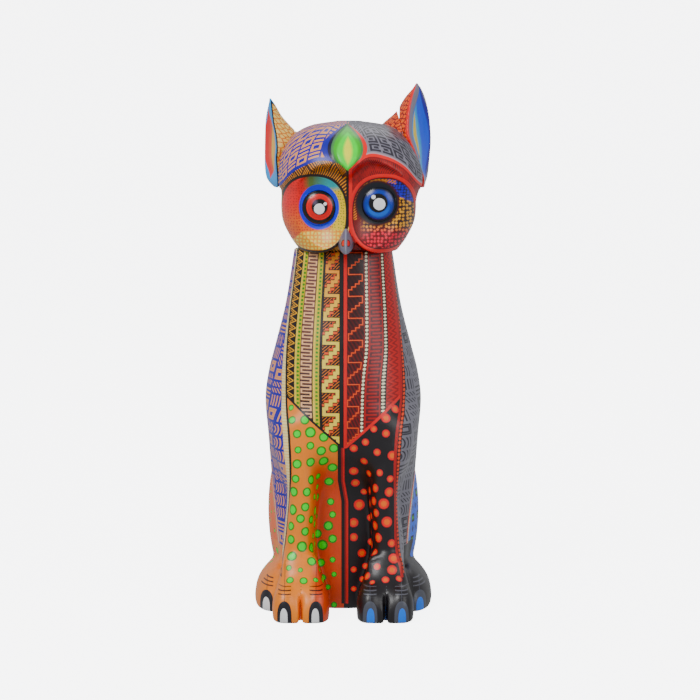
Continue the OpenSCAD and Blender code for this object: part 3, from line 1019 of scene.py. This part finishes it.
def keep(obj, name, values):
    """Stores one number a vertex."""
    attribute = obj.data.attributes.new(name, "FLOAT", "POINT")
    attribute.data.foreach_set("value", np.asarray(values, np.float32))


def front_edge(x, z):
    return np.where(x < SPLIT_X, curve(EDGE_LEFT, z), curve(EDGE_RIGHT, z))


def across(x, z):
    """Sideways place on the chest, scaled so that each painted band has the same width all the way down."""
    side = x - SPLIT_X
    left = side * 35.4 / curve(EDGE_LEFT, z)
    first, second, edge = curve(FIRST_BEADS, z), curve(SECOND_BEADS, z), curve(EDGE_RIGHT, z)
    right = np.where(
        side < first, side / first * 16.1,
        np.where(side < second, 16.1 + (side - first) / (second - first) * 11.5,
                 27.6 + (side - second) / (edge - second) * 6.8))
    return np.where(side < 0, left, right)


def vee(x, z):
    return z - VEE_LOW - VEE_RISE * np.maximum(np.abs(x - SPLIT_X) - 2, 0)


def scattered(points, spacing, seed):
    """Picks points no nearer to each other than their spacing."""
    order = np.random.default_rng(seed).permutation(len(points))
    free = np.ones(len(points), bool)
    chosen = []
    for i in order:
        if free[i]:
            chosen.append(i)
            free &= np.linalg.norm(points - points[i], axis=1) > spacing[i]
    return np.array(chosen)


def dot_distance(points, centres, radii):
    """Distance to the nearest dot, as a share of that dot's radius."""
    tree = KDTree(len(centres))
    for i, c in enumerate(centres):
        tree.insert(c, i)
    tree.balance()
    out = np.full(len(points), 3.0)
    for i, p in enumerate(points):
        _, index, distance = tree.find(p)
        out[i] = min(distance / radii[index], 3)
    return out


CLAWS = ((LEG_X - 11, 16.5, 0), (LEG_X + 11.5, 16.5, 0), (HIND_LO[0] + 6.2, 15.5, 1))


def keep_body_numbers(pieces):
    parts = {k: points_of(o) for k, o in pieces.items()}
    cloud_points = np.concatenate(list(parts.values()))
    x, y, z = cloud_points.T
    side = np.abs(x - SPLIT_X)
    on_front = (side < front_edge(x, z) - 3.2) & (y < 0) & (vee(x, z) < -3.4) & (side > 6.4) & (z > 2)
    toe_front = (z < 27) & (y < -HIND_HI[0])
    on_haunch = haunch_edge(x, y, z) > 8
    centres = {}
    for name, mask, seed in (("dot_green", x < 0, 3), ("dot_red", x > 0, 8)):
        ok = mask & ((on_front & ~toe_front) | (on_haunch & (x < 0)))
        spots = cloud_points[ok]
        near_paw = smooth(46, 24, spots[:, 2])
        chosen = scattered(spots, mix(8.8, 7.4, near_paw), seed)
        rng = np.random.default_rng(seed)
        radii = rng.uniform(2.3, 4.1, len(chosen)) * mix(1, 0.72, near_paw[chosen])
        centres[name] = (spots[chosen], radii)
    for key, obj in pieces.items():
        p = parts[key]
        x, y, z = p.T
        side = np.abs(x - SPLIT_X)
        turned = np.sqrt(np.clip(1 - normals_of(obj)[:, 0] ** 2, 0.09, 1))
        beyond = np.where(y < 6, (side - front_edge(x, z)) / turned, 30)
        beyond = np.where((side > 33) & (z < 118), np.maximum(beyond, y + 44), beyond)
        wide = np.where(x < SPLIT_X, curve(BEAD_WIDE_LEFT, z), curve(BEAD_WIDE_RIGHT, z))
        keep(obj, "across", across(x, z))
        keep(obj, "beyond", beyond)
        keep(obj, "bead_share", beyond / wide)
        keep(obj, "vee", vee(x, z))
        keep(obj, "jog", curve([(80, 2.6), (96, 0)], z))
        angle = np.arctan2(x, -(y - curve([(0, 25), (110, 12), (200, 0)], z)))
        keep(obj, "around", angle * 48)
        keep(obj, "haunch", haunch_edge(x, y, z))
        # Painted shade mask: 1 low down near the middle, where the orange of the forelegs is darkened.
        hollow = smooth(116, 100, z) * smooth(26, 18, side)
        keep(obj, "hollow", hollow)
        on_paw = {"hind": np.full(len(p), 5.0), "fore": 38 - z}.get(key[:4], np.minimum(43 - z, 12 - y))
        keep(obj, "paw", on_paw)
        for name, (spots, radii) in centres.items():
            keep(obj, name, dot_distance(p, spots, radii))
        claw = np.full(len(p), 99.0)
        high = np.full(len(p), 14.0)
        toe = np.zeros(len(p))
        for cx, ch, hind in CLAWS:
            if bool(hind) != key.startswith("hind"):
                continue
            gap = np.abs(x) - cx
            nearer = np.abs(gap) < np.abs(claw)
            claw = np.where(nearer, gap, claw)
            high = np.where(nearer, ch, high)
            tip = HIND_LO[1] + 24 if hind else -(PAW_TIP - 24)
            toe = np.maximum(toe, smooth(tip + 3, tip, y))
        if key == "torso":
            toe[:] = 0
        keep(obj, "claw", claw)
        keep(obj, "claw_high", high)
        keep(obj, "toe", toe)


def haunch_edge(x, y, z):
    """Distance inwards from a haunch's outline, seen from the side."""
    middle, half = np.where(x < 0, 14, 30), np.where(x < 0, 25, 43)
    reach = np.sqrt(((y - middle) / half) ** 2 + ((z - 64) / 68) ** 2)
    return np.where(np.abs(x) > 18, (1 - reach) * half * 1.15, -20)


# ---------- paint: head, ears, eyes, beak, tail, bare wood ----------

def cells(a, b, size, loose, feature="F1"):
    """Distance in millimetres from the nearest point (F1) or border of a scatter of cells."""
    node = Num.tree.nodes.new("ShaderNodeTexVoronoi")
    node.voronoi_dimensions = "2D"
    node.feature = feature
    node.inputs["Scale"].default_value = 1 / size
    node.inputs["Randomness"].default_value = loose
    joined = Num.tree.nodes.new("ShaderNodeCombineXYZ")
    for socket, value in zip(joined.inputs, (a, b)):
        Num.tree.links.new(value.socket, socket)
    Num.tree.links.new(joined.outputs[0], node.inputs["Vector"])
    return Num(node.outputs["Distance"]) * size


def basket(a, b, wide, high, line):
    """Outlined boxes alternating with pairs of bars."""
    column, row = calc("FLOOR", a / wide), calc("FLOOR", b / high)
    x, y = a - column * wide - wide / 2, b - row * high - high / 2
    odd = inside(turn(column + row, 2) - 0.5, 0.01)
    edge = most(abs(x) - wide * 0.33, abs(y) - high * 0.33)
    box = line / 2 - abs(edge)
    bars = least(line / 2 - abs(abs(y) - high * 0.24), wide * 0.42 - abs(x))
    return box + odd * (bars - box)


def hooks(a, b, wide, high, line):
    """Open squares with a bar in them, turned left and right by turns."""
    column, row = calc("FLOOR", a / wide), calc("FLOOR", b / high)
    odd = inside(turn(column + row, 2) - 0.5, 0.01)
    x = (a - column * wide - wide / 2) * (1 - odd * 2)
    y = b - row * high - high / 2
    edge = most(abs(x) - wide * 0.34, abs(y) - high * 0.34)
    box = least(line / 2 - abs(edge), most(0 - x, abs(y) - high * 0.2))
    bar = least(line * 0.6 - abs(y), abs(x) + 0, wide * 0.3 - x, x + wide * 0.1)
    return most(box, bar)


def scales(a, b, base, line, spot):
    """Small rounded scales."""
    rim = cells(a, b * 0.8, 2.7, 0.55, "DISTANCE_TO_EDGE")
    return coats(line, (inside(rim - 0.26, 0.22), base), (inside(rim - 0.75, 0.5) * 0.6, spot))


def ear_inner(a, z, left):
    cream = scales(a, z, (252, 216, 156), (206, 140, 70), (255, 232, 186))
    fire = scales(a, z, (246, 128, 62), (120, 16, 18), (255, 168, 100))
    return coat(fire, left, cream)


def eye_radius(x, h, centre, tall=1.0):
    dx, dh = x - centre[0], (h - centre[1]) * tall
    return calc("SQRT", dx * dx + dh * dh)


EYE_LEFT, EYE_RIGHT = (-21, 33), (21, 36)


def disc_left(x, h, depth):
    grain = cells(x, h, 2.0, 0.5)
    net = cells(x, h, 2.7, 0.45, "DISTANCE_TO_EDGE")
    warm = coats(
        (236, 92, 24),
        (fade(0 - h + x * 0.3, -48, -32), (248, 146, 20)),
        (fade(0 - h, -27, -17), (226, 142, 12)),
        (inside(0.6 - grain, 0.4) * 0.75, (196, 60, 8)),
    )
    gold = coats((240, 214, 0), (inside(0.5 - grain, 0.4) * 0.75, (128, 140, 10)))
    sky = coats((122, 142, 96), (fade(x, -26, -14), (106, 192, 196)))
    cream = coats(
        (226, 158, 74),
        (inside(net - 0.24, 0.2), (250, 206, 116)),
        (inside(net - 0.7, 0.4), (255, 232, 168)),
    )
    colour = coats(
        warm,
        (fade(x, -15, -10), gold),
        (fade(h - abs(x + 18) * 0.12, 43, 47) * fade(x, -33, -28), sky),
        (inside(least(x + 30.9 - (h - 17.8), 15.5 - h + (x + 30) * 0.06), 1.2), cream),
    )
    ring = eye_radius(x, h, (EYE_LEFT[0] - 0.2, EYE_LEFT[1]), 0.885)
    return coats(
        colour,
        (inside(14.4 - ring, 0.5), (24, 98, 214)),
        (inside(1.7 - depth, 0.4), (44, 26, 14)),
    )


def disc_right(x, h, depth):
    small = cells(x, h, 2.6, 0.45)
    tiny = cells(x, h, 2.0, 0.5)
    base = coats(
        (70, 34, 20),
        (fade(x, 30, 20), (60, 26, 26)),
        (inside(0.95 - small, 0.3), (238, 190, 96)),
    )
    wine = coats((124, 10, 52), (inside(0.95 - small, 0.3), (226, 44, 112)))
    violet = coats((38, 22, 92), (inside(0.85 - tiny, 0.3), (92, 66, 196)))
    hatch_left = coats(
        (150, 20, 18),
        (inside(hatch(x * 1.3 + h, 1.5, 0.26), 0.2) * 0.75, (60, 10, 12)),
    )
    colour = coats(
        base,
        (fade(0 - h - abs(x - 24) * 0.1, -21, -15), wine),
        (inside(least(h - 44 + (x - 30) * 0.5, x - 27), 1.2), violet),
        (fade(0 - x, -13, -8), hatch_left),
        (inside(least(depth - 3.2, 5.6 - depth, h - 24, 34 - x, 0.55 - near(x * 0.7 - h, 1.9)), 0.2), (255, 170, 56)),
    )
    ring = eye_radius(x, h, (EYE_RIGHT[0] - 0.4, EYE_RIGHT[1] - 0.2), 0.97)
    return coats(
        colour,
        (inside(16.2 - ring, 1.8), (92, 8, 14)),
        (inside(14.8 - ring, 1.2), (40, 44, 54)),
        (inside(2.7 - depth, 0.4), (216, 18, 16)),
        (inside(0.35 - abs(depth - 2.7), 0.3), (96, 8, 10)),
    )


def leaf_shape(t, h, centre, half, middle, reach):
    """Positive inside an upright leaf drawn on an ear's open face."""
    rise = (h - middle) / reach
    return half * (1 - rise * rise) - abs(t - centre)


def head_paint():
    x, y, z = place()
    x = x - HEAD_X
    h = z - BODY_H
    left = inside(0.2 - x)
    drop, depth, boss, a = stored("drop"), stored("depth"), stored("boss"), stored("around")
    up = 0 - drop * 1.15
    violet = coats(
        VIOLET,
        (inside(least(basket(a + 1.6, up - 2.4, 7.6, 6.2, 1.5), 0 - drop - 2.2, boss * 12 - 19), 0.25), PEACH),
    )
    grey = coats(
        (158, 156, 164),
        (inside(least(hooks(a + 2.4, up - 2.4, 7.6, 6.6, 1.5), 0 - drop - 2.4, boss * 12 - 16), 0.25), (76, 74, 82)),
        (inside(1.5 + drop), (196, 180, 186)),
    )
    cap = coat(grey, left, violet)
    cap = coats(
        cap,
        (inside((1.22 - boss) * 11) * left, (36, 30, 74)),
        (inside((1.24 - boss) * 11) * inside(x - 0.2), (226, 40, 46)),
        (inside((1 - boss) * 11, 0.5), (110, 150, 112)),
        (inside(leaf_shape(x, h, BOSS_X, 9.8, BOSS_Z, 15.2), 1.2) * inside(0 - y), (96, 190, 76)),
        (inside(leaf_shape(x, h, BOSS_X + 0.3, 7.4, BOSS_Z - 1, 12.4), 1.6) * inside(0 - y), (84, 255, 30)),
        (inside(leaf_shape(x, h, BOSS_X + 0.5, 3.0, BOSS_Z - 1.5, 9.5), 2.2) * inside(0 - y), (240, 255, 0)),
    )
    tooth = drop * 0.5 - near(a, 8.2) + 0.2
    slope = inside(tooth, 0.01) * 2 - 1
    lines = least(0.24 - near(a + slope * drop * 0.55, 1.45), abs(tooth) - 0.35)
    band_left = coats(
        (84, 52, 18),
        (inside(0.3 - abs(tooth), 0.3), (34, 20, 8)),
        (inside(lines, 0.3), (232, 176, 84)),
    )
    hairs = 0.24 - near(a + drop * 0.25, 1.1)
    band_right = coats(
        (176, 12, 16),
        (inside(hairs, 0.3) * fade(cloud(0.25, 2), 0.35, 0.6), (66, 6, 12)),
        # Painted shade: the red band darkens just under the overhanging edge of the cap.
        (fade(0 - drop, -3.5, 0), (96, 8, 14)),
    )
    band = coat(band_right, left, band_left)
    discs = coat(disc_right(x, h, depth), left, disc_left(x, h, depth))
    marks = glyphs(a, h, 7.5, 6.5, 0.5)
    cheek_left = coats((246, 214, 160), (inside(marks, 0.3), (64, 44, 34)))
    cheek_right = coats((170, 22, 26), (inside(marks, 0.3), (84, 8, 14)))
    cheek = coat(cheek_right, left, cheek_left)
    face = coats(
        band,
        (inside(depth), discs),
        (inside(least(0.2 - x, x + 1.7)) * inside(drop), (34, 20, 14)),
        (inside(least(x - 0.2, 2.6 - x)) * inside(drop), (214, 18, 16)),
    )
    face = coat(cheek, inside(0 - stored("cheek")), face)
    colour = coat(cap, inside(drop), face)
    colour = coat(colour, inside(1.1 - abs(drop - 0.6)) * inside(x - 0.2) * inside(0 - y - 22), (224, 30, 26))
    return coat(colour, inside(stored("foot") + 0.9), ear_inner(a, z, left))


def ear_left_paint():
    x, y, z = place()
    h = z - BODY_H
    t = stored("across")
    face = coats(
        (112, 190, 250),
        (inside(leaf_shape(t, h, 0.28, 0.74, 77, 26), 0.06), (226, 52, 62)),
        (inside(leaf_shape(t, h, 0.02, 0.52, 75, 21), 0.11), (250, 132, 70)),
        (inside(leaf_shape(t, h, -0.12, 0.34, 74, 17), 0.15), (255, 216, 150)),
    )
    inner = scales(y, z, (252, 216, 156), (206, 140, 70), (255, 232, 186))
    colour = coat(inner, inside(stored("open")), face)
    return coat(colour, inside(0.55 - abs(stored("open"))) * inside(0 - t * 10 - 5), (40, 40, 52))


def ear_right_paint():
    x, y, z = place()
    h = z - BODY_H
    t = stored("across")
    face = coats(
        (160, 158, 168),
        (inside(leaf_shape(t, h, 0.3, 0.78, 84, 38), 0.08), (84, 76, 166)),
        (inside(leaf_shape(t, h, 0.16, 0.66, 82, 35), 0.1), (40, 132, 246)),
        (inside(leaf_shape(t, h, -0.14, 0.36, 80, 26), 0.13), (64, 188, 226)),
        (inside(leaf_shape(t, h, -0.22, 0.16, 82, 18), 0.09), (252, 222, 140)),
        (inside(52 - h, 5) * 0.8, (206, 204, 212)),
    )
    inner = scales(y, z, (246, 128, 62), (120, 16, 18), (255, 168, 100))
    colour = coat(inner, inside(stored("open")), face)
    return coat(colour, inside(1.0 - abs(stored("open") + 0.3)) * inside(0 - t * 10 - 5), (222, 36, 40))


def eye_paint(word):
    lo, hi = mm_box("eye_" + word)
    cx, cz = (lo[0] + hi[0]) / 2, (lo[2] + hi[2]) / 2

    def spot(x, z, dx, dz, r):
        a, b = x - (cx + dx), z - (cz + dz)
        return r - calc("SQRT", a * a + b * b)

    def left():
        x, y, z = place()
        return coats(
            (24, 98, 214),
            (inside(spot(x, z, 0, 0, 12.4), 0.4), (14, 14, 18)),
            (inside(spot(x, z, 0, 0.2, 9.3), 0.4), (250, 104, 46)),
            (inside(spot(x, z, 0, 0.2, 8.6), 0.5), (206, 22, 24)),
            (inside(spot(x, z, 0.3, 0.3, 5.8), 0.6), (12, 10, 14)),
            # Painted reflection: a soft grey spot of light on the dome's upper left.
            (inside(spot(x, z, -3.2, 3.6, 1.8), 2.0) * 0.5, (150, 140, 160)),
            (inside(spot(x, z, 0, -1.1, 3.8), 0.3), (255, 255, 255)),
            (inside(spot(x, z, 4.2, 2.5, 1.2), 0.3), (255, 255, 255)),
        )

    def right():
        x, y, z = place()
        return coats(
            (34, 40, 50),
            (inside(spot(x, z, 0.5, -1.2, 10.6), 1.8), (0, 92, 170)),
            (inside(spot(x, z, 0.5, -1.6, 8.4), 1.4) * fade(0 - z, -cz, -cz + 6), (40, 140, 214)),
            (inside(spot(x, z, 0.2, 0, 6.9), 0.9), (8, 10, 18)),
            (inside(spot(x, z, 1.0, -0.7, 4.3), 0.3), (255, 255, 255)),
            (inside(spot(x, z, -3.2, 4.4, 1.5), 0.3), (255, 255, 255)),
        )
    return left if word == "left" else right


def beak_paint():
    x, y, z = place()
    side = abs(x - (BEAK_LO[0] + BEAK_HI[0]) / 2)
    dy, dz = (y + 58.5) / 2.4, (z - BEAK_LO[2] - 8.2) / 1.9
    nostril = 1.0 - calc("SQRT", dy * dy + dz * dz)
    return coats(
        (140, 140, 152),
        # Painted shade on the beak's sides and a painted highlight along its ridge.
        (fade(side, 3.5, 5.2) * 0.6, (84, 84, 98)),
        (inside(0.5 - side, 0.5) * 0.5, (196, 196, 206)),
        (inside(nostril + 0.35, 0.15) * inside(side - 1.2), (28, 20, 24)),
        (inside(nostril, 0.15) * inside(side - 1.2), (222, 60, 70)),
    )


def tail_paint():
    along, around = stored("along"), stored("round")
    band = calc("FLOOR", along / 12.4 - 0.5)
    kind = turn(band, 4)
    within = along / 12.4 - 0.5 - band
    mm = within * 12.4
    spots = beads(near(mm, 6.2) - 3.1, around, 5.4, 1.7)
    zig = 0.7 - abs(mm - 2.4 - near(around, 6) * 2.4)
    first = coats(BLUE, (inside(zig, 0.3), (20, 30, 70)), (inside(zig - 0.35 + 0, 0.3), (250, 240, 210)))
    second = coats(BLACK, (inside(spots + 0.6, 0.3), (232, 34, 14)), (inside(spots - 0.2, 0.3), (255, 170, 80)))
    third = coats((246, 146, 48), (inside(spots + 0.6, 0.3), DARK_GREEN), (inside(spots - 0.2, 0.3), GREEN))
    fourth = coats(VIOLET, (inside(least(basket(around, mm, 6, 6.2, 1.2), mm - 1), 0.3), PEACH))
    colour = coat(first, inside(kind - 0.5, 0.02), second)
    colour = coat(colour, inside(kind - 1.5, 0.02), third)
    colour = coat(colour, inside(kind - 2.5, 0.02), fourth)
    rim = near(within, 1) * 12.4
    return coats(
        colour,
        (inside(1.7 - rim), (50, 24, 16)),
        (inside(beads(rim * 0.9, around, 2.4, 0.95), 0.3), (255, 246, 220)),
    )


def wood(name):
    """Bare turned wood with its grain."""
    material = bpy.data.materials.new(name)
    material.use_nodes = True
    tree = Num.tree = material.node_tree
    shader = tree.nodes["Principled BSDF"]
    grain = cloud(0.9, 5, (1, 1, 0.12))
    rings = near(cloud(0.06, 2, (1, 1, 0.3)) * 60, 6) * 0.33
    colour = coats((222, 184, 134), (fade(grain, 0.45, 0.75) * 0.6, (176, 126, 76)), (rings * 0.35, (190, 142, 92)))
    tree.links.new(colour, shader.inputs["Base Color"])
    tree.links.new((0.5 + grain * 0.3).socket, shader.inputs["Roughness"])
    bump = tree.nodes.new("ShaderNodeBump")
    bump.inputs["Strength"].default_value = 0.3
    bump.inputs["Distance"].default_value = MM
    tree.links.new((grain * 0.3).socket, bump.inputs["Height"])
    tree.links.new(bump.outputs["Normal"], shader.inputs["Normal"])
    return material


def keep_head_numbers(obj):
    p = points_of(obj)
    x, y, z = p[:, 0] - HEAD_X, p[:, 1], p[:, 2] - BODY_H
    level = np.where(x < 0, 46.0, 48.0)
    drop = mix(brow(x), level, smooth(-24, 4, y)) - z
    ring = disc_ring(x, z)
    keep(obj, "drop", drop)
    keep(obj, "depth", (1 - ring) * 25)
    keep(obj, "boss", np.where(y < 0, np.minimum(boss_ring(x, z), 4), 4))
    keep(obj, "around", np.arctan2(x, -(y - 6)) * 50)
    keep(obj, "cheek", np.maximum(y + 17, np.minimum(-0.8 - (1 - ring) * 25, 24 - z)))
    keep(obj, "foot", np.maximum(*[-ear_whole(p[:, 0], p[:, 1], p[:, 2], side) for side in (-1, 1)]))


def keep_ear_numbers(obj, side):
    p = points_of(obj)
    t, n, _ = ear_section(p[:, 0], p[:, 1], p[:, 2], side)
    keep(obj, "across", np.clip(t, -1.5, 1.5))
    keep(obj, "open", n + EAR_CUP + 0.6 - EAR_CUP * smooth(0.5, 0.9, np.abs(t)))


# ---------- the pieces ----------

def finish_piece(piece, node, body, material):
    piece.data.materials.clear()
    piece.data.materials.append(material)
    piece.data.shade_smooth()
    piece.data.set_sharp_from_angle(angle=math.radians(50))
    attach(piece, body)
    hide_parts(node)


body_pieces = make_body()
keep_body_numbers(body_pieces)
body_material = painted("painted_body", body_paint)
for node, piece in body_pieces.items():
    finish_piece(piece, node, "figure", body_material)

head_piece = make_head()
keep_head_numbers(head_piece)
finish_piece(head_piece, "head", "figure", painted("painted_head", head_paint))

for side, word, paint in ((-1, "left", ear_left_paint), (1, "right", ear_right_paint)):
    ear_piece = make_ear(side, word)
    keep_ear_numbers(ear_piece, side)
    finish_piece(ear_piece, "ear_" + word, word + "_ear", painted("painted_ear_" + word, paint))
    eye_piece = make_eye(word)
    finish_piece(eye_piece, "eye_" + word, "figure",
                 painted("painted_eye_" + word, eye_paint(word), 0.22))

finish_piece(make_beak(), "beak", "figure", painted("painted_beak", beak_paint, 0.3))
finish_piece(make_tail(), "tail", "tail", painted("painted_tail", tail_paint))

wood_material = wood("bare_wood")
for node in ("neck_dowel", "foreleg_dowels", "hind_paw_dowels", "ear_peg_left", "ear_peg_right", "tail_peg"):
    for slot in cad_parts[node].material_slots:
        slot.material = wood_material


# ---------- stage, light and camera ----------

def plain(name, colour, rough):
    material = bpy.data.materials.new(name)
    material.use_nodes = True
    shader = material.node_tree.nodes["Principled BSDF"]
    shader.inputs["Base Color"].default_value = (*colour, 1)
    shader.inputs["Roughness"].default_value = rough
    return material


def make_stage():
    """A wide round floor that sweeps up into a backdrop on every side."""
    reach, bend, top, around = 6.0, 1.5, 5.0, 96
    profile = [(0.5, 0)] + [
        (reach + bend * math.sin(a), bend * (1 - math.cos(a))) for a in np.linspace(0, math.pi / 2, 17)
    ] + [(reach + bend, top)]
    turns = [2 * math.pi * k / around for k in range(around)]
    points = [(r * math.cos(t), r * math.sin(t), z) for r, z in profile for t in turns]
    faces = [tuple(range(around))]
    faces += [(i * around + k, (i + 1) * around + k, (i + 1) * around + (k + 1) % around, i * around + (k + 1) % around)
              for i in range(len(profile) - 1) for k in range(around)]
    floor = new_object("floor", np.array(points) / MM, faces)
    floor.data.polygons.foreach_set("use_smooth", [True] * len(faces))
    material = plain("pale_floor", (0.94, 0.94, 0.95), 0.6)
    shader = material.node_tree.nodes["Principled BSDF"]
    shader.inputs["Emission Color"].default_value = (0.98, 0.98, 1, 1)
    shader.inputs["Emission Strength"].default_value = 6
    floor.data.materials.append(material)
    floor.visible_diffuse = floor.visible_glossy = False


def area_light(name, place, target, size, power):
    light = bpy.data.lights.new(name, "AREA")
    light.shape = "DISK"
    light.size = size
    light.energy = power
    obj = bpy.data.objects.new(name, light)
    obj.location = place
    obj.rotation_euler = (Vector(target) - Vector(place)).to_track_quat("-Z", "Y").to_euler()
    bpy.context.scene.collection.objects.link(obj)


def make_light():
    world = bpy.data.worlds.new("studio")
    world.use_nodes = True
    world.node_tree.nodes["Background"].inputs["Color"].default_value = (0.96, 0.97, 1, 1)
    world.node_tree.nodes["Background"].inputs["Strength"].default_value = 0.5
    bpy.context.scene.world = world
    middle = (0, 0, 0.2)
    area_light("key", (-0.9, -1.3, 1.5), middle, 0.9, 26)
    area_light("fill", (1.3, -1.1, 0.9), middle, 1.2, 9)
    area_light("back", (0.2, 1.2, 1.6), middle, 1.0, 4)


def make_camera():
    """The camera stands in front, a little below the top of the figure, and looks slightly down."""
    camera = bpy.data.cameras.new("camera")
    camera.sensor_width = 36
    camera.lens = 126
    camera.dof.use_dof = False
    obj = bpy.data.objects.new("camera", camera)
    obj.location = (0.005, -1.8, 0.40)
    target = Vector((0.005, 0, 0.1867))
    obj.rotation_euler = (target - obj.location).to_track_quat("-Z", "Y").to_euler()
    bpy.context.scene.collection.objects.link(obj)
    bpy.context.scene.camera = obj


make_stage()
make_light()
make_camera()
